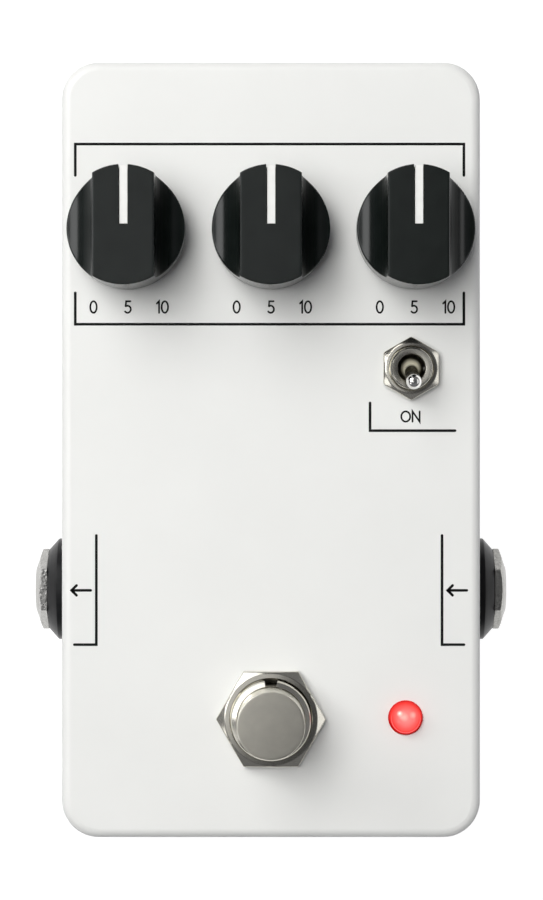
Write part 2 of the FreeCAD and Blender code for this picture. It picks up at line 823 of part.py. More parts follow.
def foot_switch():
    """The foot switch with its nuts, washer, spring, plunger and lugs."""
    bore = foot_bushing_radius + nut_gap
    save("footswitch_bushing", foot_bushing())
    save("footswitch_frame", foot_frame_plate())
    save("footswitch_body", foot_body())
    save("footswitch_plunger", foot_plunger())
    save("footswitch_spring", foot_spring())
    save("footswitch_nut", hex_nut(foot_nut_flats, foot_nut_crown, bore, 0, foot_y,
                                   box_height, box_height + foot_nut, 0))
    save("footswitch_lock_nut", hex_nut(foot_lock_nut_flats, foot_lock_nut_crown, bore, 0, foot_y,
                                        foot_lock_bottom, foot_lock_bottom + foot_lock_nut, 0))
    save("footswitch_washer", ring(foot_washer_radius, bore, 0, foot_y, ceiling - foot_washer, ceiling))
    save("footswitch_lugs", *[block_at(x, y, lug_width, lug_thickness, foot_body_bottom - lug_length,
                                       foot_body_bottom) for x, y in lug_places()])
    save("footswitch_board", foot_board())


def header_places():
    """Pins that join the foot switch's board to the main board, in a row beside the lamp."""
    middle = (header_pin_count - 1) / 2
    return [(header_x, header_y + (i - middle) * header_pitch) for i in range(header_pin_count)]


def board_header():
    """Tall header between the two boards: a moulded strip and its pins."""
    length = header_pin_count * header_pitch
    strip = block_at(header_x, header_y, header_width, length, foot_board_top, board_bottom)
    holes = [block_at(x, y, lead, lead, foot_board_top, board_bottom) for x, y in header_places()]
    save("link_header", strip.cut(holes))
    low, high = foot_board_top - board - lead_tail, board_top + lead_tail
    save("link_pins", *[block_at(x, y, lead, lead, low, high) for x, y in header_places()])


def led_lead_places():
    """The lamp's two leads."""
    return [(led_x + side * led_pitch / 2, led_y) for side in (-1, 1)]


def lamp():
    """Domed lamp held up to its hole by a tubular spacer on the board."""
    shoulder = box_height + led_rise - led_radius
    body = joined([rod(led_flange_radius, led_x, led_y, led_bottom, led_bottom + led_flange),
                   rod(led_radius, led_x, led_y, led_bottom, shoulder)])
    dome = Part.makeSphere(led_radius, V(led_x, led_y, shoulder), UP, 0, 90, 360)
    save("led_lamp", joined([body, dome]))
    save("led_leads", *[block_at(x, y, lead, lead, tail_bottom, led_bottom) for x, y in led_lead_places()])
    save("led_spacer", ring(led_flange_radius, led_spacer_bore, led_x, led_y, board_top, led_bottom))


def jack_pin_offsets():
    """Distance from the centre, along the jack, of its tip and sleeve pins."""
    return jack_body_start + jack_end_wall + 2 * lead, jack_bore_start - 2 * lead


def jack_pin_places():
    """The pins of both jacks where they pass through the main board."""
    return [(side * offset, jack_y) for side in (-1, 1) for offset in jack_pin_offsets()]


def jack_housing():
    """Moulded jack body with a threaded nose and an open back, its axis along +X through the origin."""
    half_height = jack_height / 2
    body = block(jack_body_start, jack_body_end, -jack_width / 2, jack_width / 2, -half_height, half_height)
    uprights = [e for e in body.Edges if e.BoundBox.ZLength > half_height]
    body = body.makeChamfer(jack_edge_chamfer, uprights)
    shoulder = jack_washer_face + jack_nut + jack_dome(jack_nose_radius)
    nose = along_x(turned([(0, jack_body_end), (jack_nose_radius, jack_body_end),
                           (jack_nose_radius, shoulder),
                           (jack_nose_flat_radius, jack_nose_end), (0, jack_nose_end)], 0, 0))
    bore = along_x(rod(jack_bore_radius, 0, 0, jack_body_start, jack_nose_end))
    half = jack_chamber / 2
    chamber = block(jack_body_start + jack_end_wall, jack_bore_start, -half, half, -half, half)
    size = lead + 2 * lead_gap
    slots = [block_at(x, 0, size, size, half, half_height) for x in jack_pin_offsets()]
    return joined([body, nose]).cut([bore, chamber] + slots)


def leaf(x0, x1):
    """Springy leaf under the roof of the jack's chamber whose middle is bent toward the plug."""
    top = jack_chamber / 2
    low = top - spring_leaf
    run = (x1 - x0) / 4
    bump = low - spring_leaf_bump
    bent = [(x0, low), (x0 + run, low), (x0 + 2 * run, bump), (x0 + 3 * run, low), (x1, low)]
    outline = bent + [(x, z + spring_leaf) for x, z in reversed(bent)]
    points = [V(x, -spring_leaf_width / 2, z) for x, z in outline]
    return Part.Face(Part.makePolygon(points + points[:1])).extrude(V(0, spring_leaf_width, 0))


def jack_contacts():
    """Tip and sleeve springs in the jack's own frame, each with a pin up through the board."""
    half = jack_chamber / 2
    inner, outer = jack_pin_offsets()
    pin_top = jack_height / 2 + board + lead_tail
    middle = (inner + outer) / 2
    springs = []
    for pin_x, x0, x1 in ((inner, inner - lead, middle - lead), (outer, middle + lead, outer + lead / 2)):
        pin = block_at(pin_x, 0, lead, lead, half - spring_leaf, pin_top)
        springs.append(joined([leaf(x0, x1), pin]))
    return springs


def jack_washer():
    """Tapered washer with a plain rim, whose inner face follows the lean of the box's side."""
    inner_face = box_width / 2 - side_lean
    cone = turned([(jack_nose_radius + nut_gap, inner_face), (jack_washer_radius, inner_face),
                   (jack_washer_radius, wall_face(box_width / 2, jack_z) + jack_washer_rim),
                   (jack_washer_outer_radius, jack_washer_face),
                   (jack_nose_radius + nut_gap, jack_washer_face)], 0, 0)
    placed = along_x(cone).translated(V(0, jack_y, jack_z))
    return placed.cut(enclosure_outside()).translated(V(0, -jack_y, -jack_z))


def signal_jacks():
    """The output jack on the left side and the input jack on the right, one design turned half round."""
    nut = hex_nut(jack_nut_flats, jack_nut_crown, jack_nose_radius + nut_gap, 0, 0,
                  jack_washer_face, jack_washer_face + jack_nut, 90, jack_dome_deg)
    pieces = {"housing": [jack_housing()], "contacts": jack_contacts(), "washer": [jack_washer()],
              "nut": [along_x(nut)]}
    for side, turn in (("input", 0), ("output", 180)):
        for piece, shapes in pieces.items():
            placed = [s.rotated(V(0, 0, 0), UP, turn).translated(V(0, jack_y, jack_z)) for s in shapes]
            save(side + "_jack_" + piece, *placed)


def power_pin_places():
    """The power jack's two pins where they pass through the main board."""
    rear = power_body_end - power_depth
    return [(0, rear + lead), (0, rear + power_depth / 2)]


def power_jack():
    """Barrel jack under the board with its nose in the rear wall, its centre pin and barrel spring."""
    start = power_body_end - power_depth
    body = block(-power_width / 2, power_width / 2, start, power_body_end, power_z, board_bottom)
    barrel = along_y(rod(power_barrel_radius, 0, 0, start, power_body_end))
    nose = along_y(rod(power_barrel_radius, 0, 0, power_body_end, power_nose_end))
    mouth = along_y(rod(power_mouth_radius, 0, 0, power_nose_end - power_mouth_depth, power_nose_end))
    socket = along_y(rod(power_socket_radius, 0, 0, power_nose_end - power_socket_depth, power_nose_end))
    round_parts = [s.translated(V(0, 0, power_z)) for s in (barrel, nose)]
    round_cuts = [s.translated(V(0, 0, power_z)) for s in (mouth, socket)]
    (pin_x, pin_y), (leaf_x, leaf_y) = power_pin_places()
    size = lead + 2 * lead_gap
    spring_top = power_z + power_socket_radius + power_leaf
    spring_end = power_nose_end - power_mouth_depth - lead
    spring_slot = block(-lead, lead, leaf_y - lead / 2, spring_end, power_z, spring_top)
    pin_slot = block(pin_x - size / 2, pin_x + size / 2, start, pin_y + size / 2,
                     power_z - power_pin_radius, board_bottom)
    leaf_slot = block_at(leaf_x, leaf_y, size, size, power_z, board_bottom)
    root_end = power_nose_end - power_socket_depth
    root_radius = power_pin_radius + power_pin_shoulder
    pin_hole = along_y(rod(root_radius, 0, 0, start, root_end)).translated(V(0, 0, power_z))
    housing = joined([body] + round_parts).cut(round_cuts + [pin_slot, leaf_slot, spring_slot, pin_hole])
    save("power_jack_housing", housing)
    tip = power_nose_end - power_mouth_depth - power_pin_tip_gap
    point = power_pin_radius / 2
    profile = [(0, start), (root_radius, start), (root_radius, root_end), (power_pin_radius, root_end),
               (power_pin_radius, tip - point), (power_pin_radius - point, tip), (0, tip)]
    pin = along_y(turned(profile, 0, 0)).translated(V(0, 0, power_z))
    riser = block_at(pin_x, pin_y, lead, lead, power_z, board_top + lead_tail)
    save("power_jack_pin", joined([pin, riser]))
    strip = block(-lead, lead, leaf_y - lead / 2, spring_end, spring_top - power_leaf, spring_top)
    riser = block_at(leaf_x, leaf_y, lead, lead, spring_top - power_leaf, board_top + lead_tail)
    save("power_jack_contact", joined([strip, riser]))


def chip(x, y):
    """Flat moulded chip under the board with a row of bent legs on each long side."""
    top = board_bottom - chip_standoff
    shapes = [block_at(x, y, chip_length, chip_width, top - chip_height, top)]
    low, high = top - chip_height / 2, board_bottom
    root, knee, toe = (chip_width / 2 + d for d in (-chip_leg_root, chip_leg, chip_leg_reach))
    bend = [(root, low), (knee + chip_leg, low), (knee + chip_leg, high - chip_leg), (toe, high - chip_leg),
            (toe, high), (knee, high), (knee, low + chip_leg), (root, low + chip_leg)]
    for i in range(chip_pin_count):
        leg_x = x + (i - (chip_pin_count - 1) / 2) * chip_pitch
        for side in (-1, 1):
            points = [V(leg_x - chip_leg_width / 2, y + side * reach, z) for reach, z in bend]
            leg = Part.Face(Part.makePolygon(points + points[:1])).extrude(V(chip_leg_width, 0, 0))
            shapes.append(leg)
    return joined(shapes)


def can_capacitor(x, y):
    """Aluminium can capacitor on a square moulded foot."""
    size = 2 * (can_radius + can_foot_margin)
    foot = block_at(x, y, size, size, board_bottom - can_foot, board_bottom)
    return joined([foot, rod(can_radius, x, y, board_bottom - can_height, board_bottom - can_foot)])


def film_capacitor(x, y):
    """Boxed film capacitor."""
    case = block_at(x, y, film_length, film_width, board_bottom - film_height, board_bottom)
    return case.makeChamfer(film_chamfer, edges_at(case, board_bottom - film_height))


def small_parts():
    """Chips, capacitors, resistors and the voltage regulator under the main board."""
    save("echo_chips", *[chip(x, knob_y - chip_row_gap) for x in chip_xs])
    save("electrolytic_capacitors", *[can_capacitor(x, knob_y + y) for x, y in can_places])
    resistor_y = knob_y - resistor_row_gap
    film_y = (resistor_y - resistor_length / 2 + jack_y + jack_width / 2) / 2
    save("film_capacitors", *[film_capacitor(x, film_y) for x in film_xs])
    middle = (resistor_count - 1) / 2
    resistor_xs = [(i - middle) * resistor_pitch for i in range(resistor_count)]
    save("chip_resistors", *[block_at(x, resistor_y, resistor_width, resistor_length,
                                      board_bottom - resistor_height, board_bottom) for x in resistor_xs])
    x, y = knob_xs[-1] - regulator_pot_offset, knob_y + regulator_row_gap
    case = block_at(x, y, regulator_length, regulator_width, board_bottom - regulator_height, board_bottom)
    tab_half, tab_end = regulator_length / 4, y + regulator_width / 2 + regulator_tab
    tab = block(x - tab_half, x + tab_half, y, tab_end, board_bottom - regulator_height / 4, board_bottom)
    save("voltage_regulator", joined([case, tab]))


def main():
    """Build every node."""
    os.makedirs("parts", exist_ok=True)
    save("enclosure", enclosure())
    save("base_plate", base_plate())
    save("base_plate_screws", *[base_screw(x, y) for x, y in post_places])
    save("main_board", main_board())
    rotary_controls()
    toggle_switch()
    foot_switch()
    board_header()
    lamp()
    signal_jacks()
    power_jack()
    small_parts()


main()
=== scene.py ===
"""Looks of the tape echo pedal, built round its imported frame.

Blender units are metres. Shapes are written in millimetres and scaled by MM when a mesh is made.
X points right, Y to the rear, Z up, as in the frame.
"""

import json
import math

import bmesh
import bpy
from mathutils import Matrix, Vector


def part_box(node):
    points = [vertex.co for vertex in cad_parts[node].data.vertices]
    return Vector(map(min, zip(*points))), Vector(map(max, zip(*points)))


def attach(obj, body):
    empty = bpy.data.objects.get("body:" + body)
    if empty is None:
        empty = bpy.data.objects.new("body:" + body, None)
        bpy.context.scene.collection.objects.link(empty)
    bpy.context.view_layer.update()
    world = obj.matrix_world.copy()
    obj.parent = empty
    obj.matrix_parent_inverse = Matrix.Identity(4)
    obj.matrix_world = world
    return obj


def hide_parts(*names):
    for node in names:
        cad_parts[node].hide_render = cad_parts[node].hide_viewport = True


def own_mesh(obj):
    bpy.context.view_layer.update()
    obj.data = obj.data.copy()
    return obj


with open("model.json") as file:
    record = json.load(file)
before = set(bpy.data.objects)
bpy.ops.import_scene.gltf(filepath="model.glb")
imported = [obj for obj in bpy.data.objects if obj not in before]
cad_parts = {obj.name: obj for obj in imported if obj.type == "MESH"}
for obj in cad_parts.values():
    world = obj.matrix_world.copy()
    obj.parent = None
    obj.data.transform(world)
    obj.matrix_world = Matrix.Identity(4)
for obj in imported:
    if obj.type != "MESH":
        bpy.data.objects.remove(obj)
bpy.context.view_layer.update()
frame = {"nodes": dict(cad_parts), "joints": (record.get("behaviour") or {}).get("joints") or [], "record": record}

MM = 0.001
TURN = 2 * math.pi
SHARP_ANGLE = math.radians(32)
WELD = 2e-7

# Places of the colour sockets on a Mix node
MIX_FIRST, MIX_SECOND, MIX_RESULT = 6, 7, 2


def node_span(name):
    """Lowest and highest corner of a CAD node, in millimetres."""
    low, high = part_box(name)
    return low / MM, high / MM


def centre_of(name):
    """Middle of a CAD node on the plan, in millimetres."""
    low, high = node_span(name)
    return (low.x + high.x) / 2, (low.y + high.y) / 2


def joint_of(name):
    """A joint's facts from the frame."""
    return next(joint for joint in frame["joints"] if joint["name"] == name)


FACE = node_span("enclosure")[1].z
CONTROLS = ("mix", "speed", "repeats")


# ---------------------------------------------------------------- materials

class Shader:
    """A node material with short helpers for the textures that all finishes share."""

    def __init__(self, name, roughness=0.5, metallic=0.0, **sockets):
        self.material = bpy.data.materials.new(name)
        self.material.use_nodes = True
        self.tree = self.material.node_tree
        self.surface = self.tree.nodes["Principled BSDF"]
        self.set("Roughness", roughness)
        self.set("Metallic", metallic)
        for socket, value in sockets.items():
            self.set(socket.replace("_", " "), value)

    def set(self, socket, value):
        """A value that is the same all over the surface."""
        self.surface.inputs[socket].default_value = value

    def node(self, kind, settings=None, **inputs):
        """New node with its settings made and some of its inputs filled by values or links."""
        new = self.tree.nodes.new(kind)
        for name, value in (settings or {}).items():
            setattr(new, name, value)
        for name, value in inputs.items():
            self.feed(new.inputs[name.replace("_", " ")], value)
        return new

    def feed(self, socket, value):
        """Link a socket to a socket, or give it a value."""
        if isinstance(value, bpy.types.NodeSocket):
            self.tree.links.new(value, socket)
        else:
            socket.default_value = value

    def vary(self, socket, value):
        """A value of the surface that changes from place to place."""
        self.tree.links.new(value, self.surface.inputs[socket])

    def place(self, stretch=(1, 1, 1)):
        """Coordinates fixed to the piece, in millimetres, stretched along the axes."""
        coordinates = self.node("ShaderNodeTexCoord").outputs["Object"]
        scale = tuple(s / MM for s in stretch)
        return self.node("ShaderNodeMapping", Vector=coordinates, Scale=scale).outputs["Vector"]

    def noise(self, size, detail=3.0, stretch=(1, 1, 1)):
        """Noise whose blotches are about the given size in millimetres."""
        vector = self.place(stretch)
        return self.node("ShaderNodeTexNoise", Vector=vector, Scale=1 / size, Detail=detail).outputs["Fac"]

    def ramp(self, value, *stops):
        """Colour ramp with (position, colour) stops."""
        new = self.node("ShaderNodeValToRGB", Fac=value)
        elements = new.color_ramp.elements
        while len(elements) < len(stops):
            elements.new(0.5)
        for element, (position, colour) in zip(elements, stops):
            element.position = position
            element.color = (*colour, 1.0)
        return new.outputs["Color"]

    def span(self, value, low, high, start=0.3, end=0.7):
        """Map a noise value onto a range."""
        new = self.node("ShaderNodeMapRange", Value=value)
        for name, number in (("From Min", start), ("From Max", end), ("To Min", low), ("To Max", high)):
            new.inputs[name].default_value = number
        return new.outputs["Result"]

    def rise(self, value, start, end):
        """0 up to the start, 1 from the end on, and an even climb between them."""
        return self.span(value, 0.0, 1.0, start, end)

    def maths(self, operation, first, second=None):
        """Result of a maths node on one or two links."""
        new = self.node("ShaderNodeMath", {"operation": operation}, Value=first)
        if second is not None:
            self.feed(new.inputs[1], second)
        return new.outputs[0]

    def from_axis(self, centre):
        """Distance in millimetres from an upright axis at a place on the plan."""
        shift = (-centre[0], -centre[1], 0.0)
        moved = self.vector("ADD", self.place(), shift)
        flat = self.vector("MULTIPLY", moved.outputs["Vector"], (1.0, 1.0, 0.0))
        return self.vector("LENGTH", flat.outputs["Vector"]).outputs["Value"]

    def vector(self, operation, value, constant=None):
        """Vector maths node on a link and a constant."""
        new = self.node("ShaderNodeVectorMath", {"operation": operation}, Vector=value)
        if constant:
            new.inputs[1].default_value = constant
        return new

    def blend(self, factor, first, second):
        """Colour that goes from the first to the second with the factor; each a colour or a link."""
        new = self.node("ShaderNodeMix", {"data_type": "RGBA"}, Factor=factor)
        for index, colour in ((MIX_FIRST, first), (MIX_SECOND, second)):
            linked = isinstance(colour, bpy.types.NodeSocket)
            self.feed(new.inputs[index], colour if linked else (*colour, 1.0))
        return new.outputs[MIX_RESULT]

    def axis(self, name):
        """One coordinate in millimetres."""
        return self.node("ShaderNodeSeparateXYZ", Vector=self.place()).outputs[name]

    def tint(self, value, dark, light):
        """Colour that drifts between two close shades."""
        self.vary("Base Color", self.ramp(value, (0.3, dark), (0.7, light)))

    def rough(self, value, low, high):
        """Roughness that drifts between two values."""
        self.vary("Roughness", self.span(value, low, high))

    def bump(self, *layers):
        """Relief from (height value, depth in millimetres) layers."""
        normal = None
        for value, depth in layers:
            new = self.node("ShaderNodeBump", Height=value, Distance=depth * MM)
            if normal:
                self.feed(new.inputs["Normal"], normal)
            normal = new.outputs["Normal"]
        self.vary("Normal", normal)


def finish(name, dark, light, roughness, grain, relief, **sockets):
    """Moulding or coating with drifting colour, drifting roughness and a fine grain."""
    shader = Shader(name, **sockets)
    shader.tint(shader.noise(grain * 6), dark, light)
    shader.rough(shader.noise(grain * 3), *roughness)
    shader.bump((shader.noise(grain, 5.0), relief))
    return shader.material


def white_paint():
    """Satin white powder coat with a faint orange peel."""
    shader = Shader("white_powder_coat", Specular_IOR_Level=0.45, Coat_Weight=0.15, Coat_Roughness=0.3)
    shader.tint(shader.noise(14.0), (0.840, 0.842, 0.838), (0.860, 0.862, 0.858))
    shader.rough(shader.noise(3.0), 0.42, 0.5)
    shader.bump((shader.noise(0.9, 2.0), 0.004), (shader.noise(0.22, 2.0), 0.0015))
    return shader.material


def knob_black(top):
    """Black moulded plastic: smooth on the bar and the walls, matt in the scooped sides."""
    shader = Shader("knob_moulding", Specular_IOR_Level=0.5)
    shader.tint(shader.noise(2.5, 6.0), (0.0036, 0.0056, 0.0050), (0.0066, 0.0092, 0.0084))
    normal = shader.node("ShaderNodeNewGeometry").outputs["Normal"]
    upright = shader.maths("ABSOLUTE", shader.node("ShaderNodeSeparateXYZ", Vector=normal).outputs["Z"])
    level = shader.ramp(upright, (0.06, WHOLE), (0.12, NONE), (0.68, NONE), (0.86, WHOLE))
    smooth = shader.maths("MAXIMUM", level, shader.rise(shader.axis("Z"), top - 1.0, top - 0.6))
    shader.vary("Specular Tint", shader.ramp(smooth, (0.0, (0.2, 0.2, 0.2)), (1.0, WHOLE)))
    shader.vary("Roughness", shader.span(smooth, 0.42, 0.2, 0.0, 1.0))
    shader.bump((shader.noise(0.25, 3.0), 0.0025))
    return shader.material


def nickel(name, tone, roughness, streak=0.0, mottle=0.0):
    """Plated or plain metal, with fine marks from turning and a coarser mottle where it was sheared."""
    shader = Shader(name, metallic=1.0)
    shader.tint(shader.noise(1.6, 5.0), tuple(0.93 * t for t in tone), tone)
    shader.rough(shader.noise(0.7, 4.0), *roughness)
    layers = [(shader.noise(0.25, 4.0), 0.0008)]
    if streak:
        layers.append((shader.noise(0.12, 2.0, stretch=(1, 1, 0.08)), streak))
    if mottle:
        layers.append((shader.noise(0.5, 3.0), mottle))
    shader.bump(*layers)
    return shader.material


def bored_nickel(name, centre, bore, floor):
    """Nickel that is dull inside a bore, below a height, and painted dark there as painted shade."""
    shader = Shader(name, metallic=1.0)
    # Inside the bore and below the height the plate colour gives way to a dark one: painted shade in the recess
    wide = shader.rise(shader.from_axis(centre), bore + 0.02, bore + 0.07)
    high = shader.rise(shader.axis("Z"), floor, floor + 0.1)
    out_of_bore_shade = shader.maths("MAXIMUM", wide, high)
    plate = shader.ramp(shader.noise(1.6, 5.0), (0.3, tuple(0.95 * t for t in NICKEL)), (0.7, NICKEL))
    shader.vary("Base Color", shader.blend(out_of_bore_shade, BORE_SHADE_NICKEL, plate))
    shader.vary("Roughness", shader.span(out_of_bore_shade, 0.5, 0.2, 0.0, 1.0))
    shader.bump((shader.noise(0.25, 4.0), 0.0008))
    return shader.material


def lever_metal(pivot):
    """Polished tip, a neck dark brown near the ball that lightens towards the tip, by height, and a dull ball
    painted cream in the middle as a painted highlight and dark round its rim as painted shade in the bore.
    """
    shader = Shader("lever_plate")
    height = shader.rise(shader.axis("Z"), FACE, FACE + 13.0)
    above_ball = shader.rise(height, 0.12, 0.2)
    rod = shader.ramp(height, (0.12, WHOLE), (0.2, (0.06, 0.052, 0.022)),
                      (0.6, (0.12, 0.105, 0.06)), (0.78, (0.86, 0.85, 0.83)))
    # Painted highlight on the ball's top and painted shade round its rim, where it sits down in the bore
    ball = shader.ramp(shader.rise(shader.from_axis(pivot), 1.1, 1.6),
                       (0.0, (0.75, 0.71, 0.57)), (1.0, (0.035, 0.03, 0.018)))
    shader.vary("Base Color", shader.blend(above_ball, ball, rod))
    shader.vary("Metallic", above_ball)
    shader.vary("Roughness", shader.span(height, 0.45, 0.13, 0.2, 0.75))
    shader.bump((shader.noise(0.25, 4.0), 0.002))
    return shader.material


def lamp_red(centre, radius):
    """Lit red resin: pale in the middle, painted highlights, a dark rim deepened at the front as painted shade,
    and a thin pale arc at the front.
    """
    shader = Shader("lamp_resin", roughness=0.1, IOR=1.5)
    share = shader.rise(shader.from_axis(centre), 0.0, radius)
    # The front half takes the darker ramp: painted shade on the lower side of the dome
    to_rear = shader.rise(shader.axis("Y"), centre[1] - 0.35 * radius, centre[1] + 0.35 * radius)
    front, rear = (shader.ramp(share, *stops) for stops in (LAMP_FRONT_SHADED, LAMP_REAR))
    glow = shader.blend(to_rear, front, rear)
    # Painted highlights: pale spots mixed into the glow where the softboxes would be reflected
    for across, along, reach, strength in LAMP_PAINTED_HIGHLIGHTS:
        away = shader.from_axis((centre[0] + across, centre[1] + along))
        glow = shader.blend(shader.span(away, strength, 0.0, 0.2 * reach, reach), glow, PAINTED_HIGHLIGHT_TONE)
    shader.vary("Emission Color", glow)
    shader.set("Emission Strength", 0.94)
    shader.vary("Specular IOR Level", shader.span(share, 0.4, 0.0, 0.6, 0.9))
    shader.tint(shader.noise(0.8), (0.24, 0.006, 0.006), (0.3, 0.012, 0.012))
    shader.bump((shader.noise(0.6, 2.0), 0.002))
    return shader.material


def nosed_plastic(nose):
    """Black moulding whose nose, further out than a distance from the middle, is plated."""
    shader = Shader("jack_moulding")
    plated = shader.rise(shader.maths("ABSOLUTE", shader.axis("X")), nose, nose + 0.02)
    shader.vary("Base Color", shader.blend(plated, (0.014, 0.014, 0.015), JACK_TONE))
    shader.vary("Metallic", plated)
    shader.rough(shader.noise(0.7, 4.0), 0.34, 0.44)
    shader.bump((shader.noise(0.25, 4.0), 0.003))
    return shader.material


WHOLE, NONE = (1.0, 1.0, 1.0), (0.0, 0.0, 0.0)
NICKEL = (0.77, 0.745, 0.665)
# Dark colour for the inside of bores: painted shade
BORE_SHADE_NICKEL = (0.36, 0.34, 0.29)
JACK_TONE = (0.48, 0.475, 0.46)

# The lamp's glow from its middle to its rim, on its front and its rear half; the front half darkens more towards
# its rim, as painted shade
LAMP_FRONT_SHADED = ((0.0, (1.0, 0.33, 0.31)), (0.4, (1.0, 0.21, 0.2)), (0.76, (1.0, 0.065, 0.055)),
              (0.83, (1.0, 0.02, 0.02)), (0.88, (1.0, 0.21, 0.2)), (0.92, (0.55, 0.005, 0.005)),
              (1.0, (0.4, 0.0, 0.0)))
LAMP_REAR = ((0.0, (1.0, 0.33, 0.31)), (0.45, (1.0, 0.25, 0.23)), (0.8, (1.0, 0.09, 0.08)),
             (0.92, (0.86, 0.05, 0.04)), (1.0, (0.6, 0.03, 0.03)))
LAMP_RADIUS = 2.5

# Painted highlights that stand for reflections of the softboxes: place across and along from the lamp's middle,
# reach in millimetres, strength
LAMP_PAINTED_HIGHLIGHTS = ((-0.96, 0.78, 0.5, 0.9), (-0.32, 0.3, 0.75, 0.4), (1.02, 0.58, 0.6, 0.35))
PAINTED_HIGHLIGHT_TONE = (1.0, 0.85, 0.72)

# Metals: material, tone, range of roughness, depth of the turning marks
METALS = {
    "zinc_screw": ("zinc_plate", (0.55, 0.55, 0.53), (0.3, 0.42)),
    "shaft_brass": ("brass_shaft", (0.72, 0.56, 0.30), (0.28, 0.38), 0.002),
    "nickel": ("nickel_plate", NICKEL, (0.18, 0.22), 0.0004),
    "satin_metal": ("satin_cap", (0.84, 0.81, 0.715), (0.32, 0.37)),
    "steel": ("plain_steel", (0.52, 0.52, 0.53), (0.3, 0.42)),
    "tinned_metal": ("tinned_metal", (0.66, 0.65, 0.62), (0.25, 0.4)),
    "capacitor_can": ("drawn_can", (0.70, 0.71, 0.73), (0.22, 0.32)),
}

# Mouldings and coatings: material, dark and light shade, range of roughness, size and depth of the grain
MOULDINGS = {
    "pointer_white": ("pointer_fill", (0.86, 0.86, 0.85), (0.90, 0.90, 0.89), (0.3, 0.4), 0.2, 0.003),
    "black_plastic": ("black_moulding", (0.012, 0.012, 0.013), (0.018, 0.018, 0.019),
                      (0.32, 0.42), 0.25, 0.004),
    "blue_plastic": ("blue_moulding", (0.02, 0.06, 0.22), (0.03, 0.08, 0.27), (0.4, 0.5), 0.3, 0.005),
    "circuit_board": ("solder_resist", (0.008, 0.11, 0.04), (0.012, 0.15, 0.055), (0.25, 0.35), 0.5, 0.004),
    "film_yellow": ("film_case", (0.62, 0.38, 0.03), (0.70, 0.45, 0.05), (0.3, 0.4), 0.3, 0.003),
    "resistor_black": ("resistor_glaze", (0.02, 0.02, 0.02), (0.03, 0.03, 0.03), (0.2, 0.3), 0.2, 0.002),
}

FINISHES = {slot: nickel(*facts) for slot, facts in METALS.items()}
FINISHES.update({slot: finish(*facts) for slot, facts in MOULDINGS.items()})
FINISHES["white_paint"] = white_paint()
FINISHES["knob_black"] = knob_black(node_span("mix_knob")[1].z)
FINISHES["lens_red"] = lamp_red(centre_of("led_lamp"), LAMP_RADIUS)

INK = finish("panel_ink", (0.003, 0.003, 0.003), (0.005, 0.005, 0.005), (0.5, 0.6), 0.3, 0.002,
             Specular_IOR_Level=0.2)
WASHER = finish("washer_moulding", (0.007, 0.007, 0.008), (0.011, 0.011, 0.012), (0.3, 0.38), 0.2, 0.004,
                Specular_IOR_Level=0.25)
# Lit and shaded copies of one nickel: the input nut on the right is darker as painted shade, the output nut on the
# left is the lit copy
JACK_NICKEL = {"input": nickel("shaded_jack_nickel", (0.41, 0.405, 0.385), (0.26, 0.36), 0.02, 0.2),
               "output": nickel("lit_jack_nickel", JACK_TONE, (0.24, 0.34), 0.01, 0.16)}
JACK_HOUSING = nosed_plastic(node_span("input_jack_nut")[1].x - 0.05)


def dress_frame():
    """Give every CAD node the finish of its slot in the record."""
    slots = {part["node"]: part["material_slot"] for part in frame["record"]["subparts"]}
    for name, node in frame["nodes"].items():
        material = JACK_HOUSING if name.endswith("_jack_housing") else FINISHES[slots[name]]
        node.data.materials.clear()
        node.data.materials.append(material)


# ---------------------------------------------------------------- meshes

def piece_from(name, bm, material, body):
    """Turn a bmesh in millimetres into a smooth piece with sharp edges where it turns sharply."""
    bmesh.ops.remove_doubles(bm, verts=bm.verts, dist=WELD / MM)
    bmesh.ops.dissolve_degenerate(bm, edges=bm.edges, dist=WELD / MM)
    bmesh.ops.recalc_face_normals(bm, faces=bm.faces)
    bmesh.ops.scale(bm, vec=(MM, MM, MM), verts=bm.verts)
    for face in bm.faces:
        face.smooth = True
    for edge in bm.edges:
        edge.smooth = not (edge.is_manifold and edge.calc_face_angle(0.0) > SHARP_ANGLE)
    mesh = bpy.data.meshes.new(name)
    normals = corner_normals(bm)
    bm.to_mesh(mesh)
    bm.free()
    mesh.normals_split_custom_set([normals[face.index, v] for face in mesh.polygons for v in face.vertices])
    mesh.materials.append(material)
    piece = bpy.data.objects.new(name, mesh)
    bpy.context.scene.collection.objects.link(piece)
    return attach(piece, body)


def stand_in(name, bm, material, body, node):
    """Piece that takes the place of a CAD node, which it hides."""
    piece = piece_from(name, bm, material, body)
    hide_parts(node)
    return piece


def corner_normals(bm):
    """Normal at each face corner: the mean of the faces joined smoothly there, by their areas."""
    bm.verts.index_update()
    bm.faces.index_update()
    weighted = {face: face.normal * face.calc_area() for face in bm.faces}
    normals = {}
    for vert in bm.verts:
        left = set(vert.link_faces)
        while left:
            fan = smooth_fan(vert, left)
            total = sum((weighted[face] for face in fan), Vector()).normalized()
            normals.update({(face.index, vert.index): total for face in fan})
    return normals


def smooth_fan(vert, left):
    """Take from the faces left round a vertex one face and those joined to it across smooth edges."""
    fan, queue = [], [left.pop()]
    while queue:
        face = queue.pop()
        fan.append(face)
        beside = {f for edge in face.edges if edge.smooth and vert in edge.verts for f in edge.link_faces}
        queue += beside & left
        left -= beside
    return fan


def skin(rings, place=Matrix()):
    """Closed bmesh through rings of points, each ring joined to the next."""
    bm = bmesh.new()
    rows = [[bm.verts.new(place @ Vector(point)) for point in ring] for ring in rings]
    count = len(rows[0])
    for a, b in zip(rows, rows[1:]):
        for i in range(count):
            j = (i + 1) % count
            bm.faces.new((a[i], a[j], b[j], b[i]))
    return bm


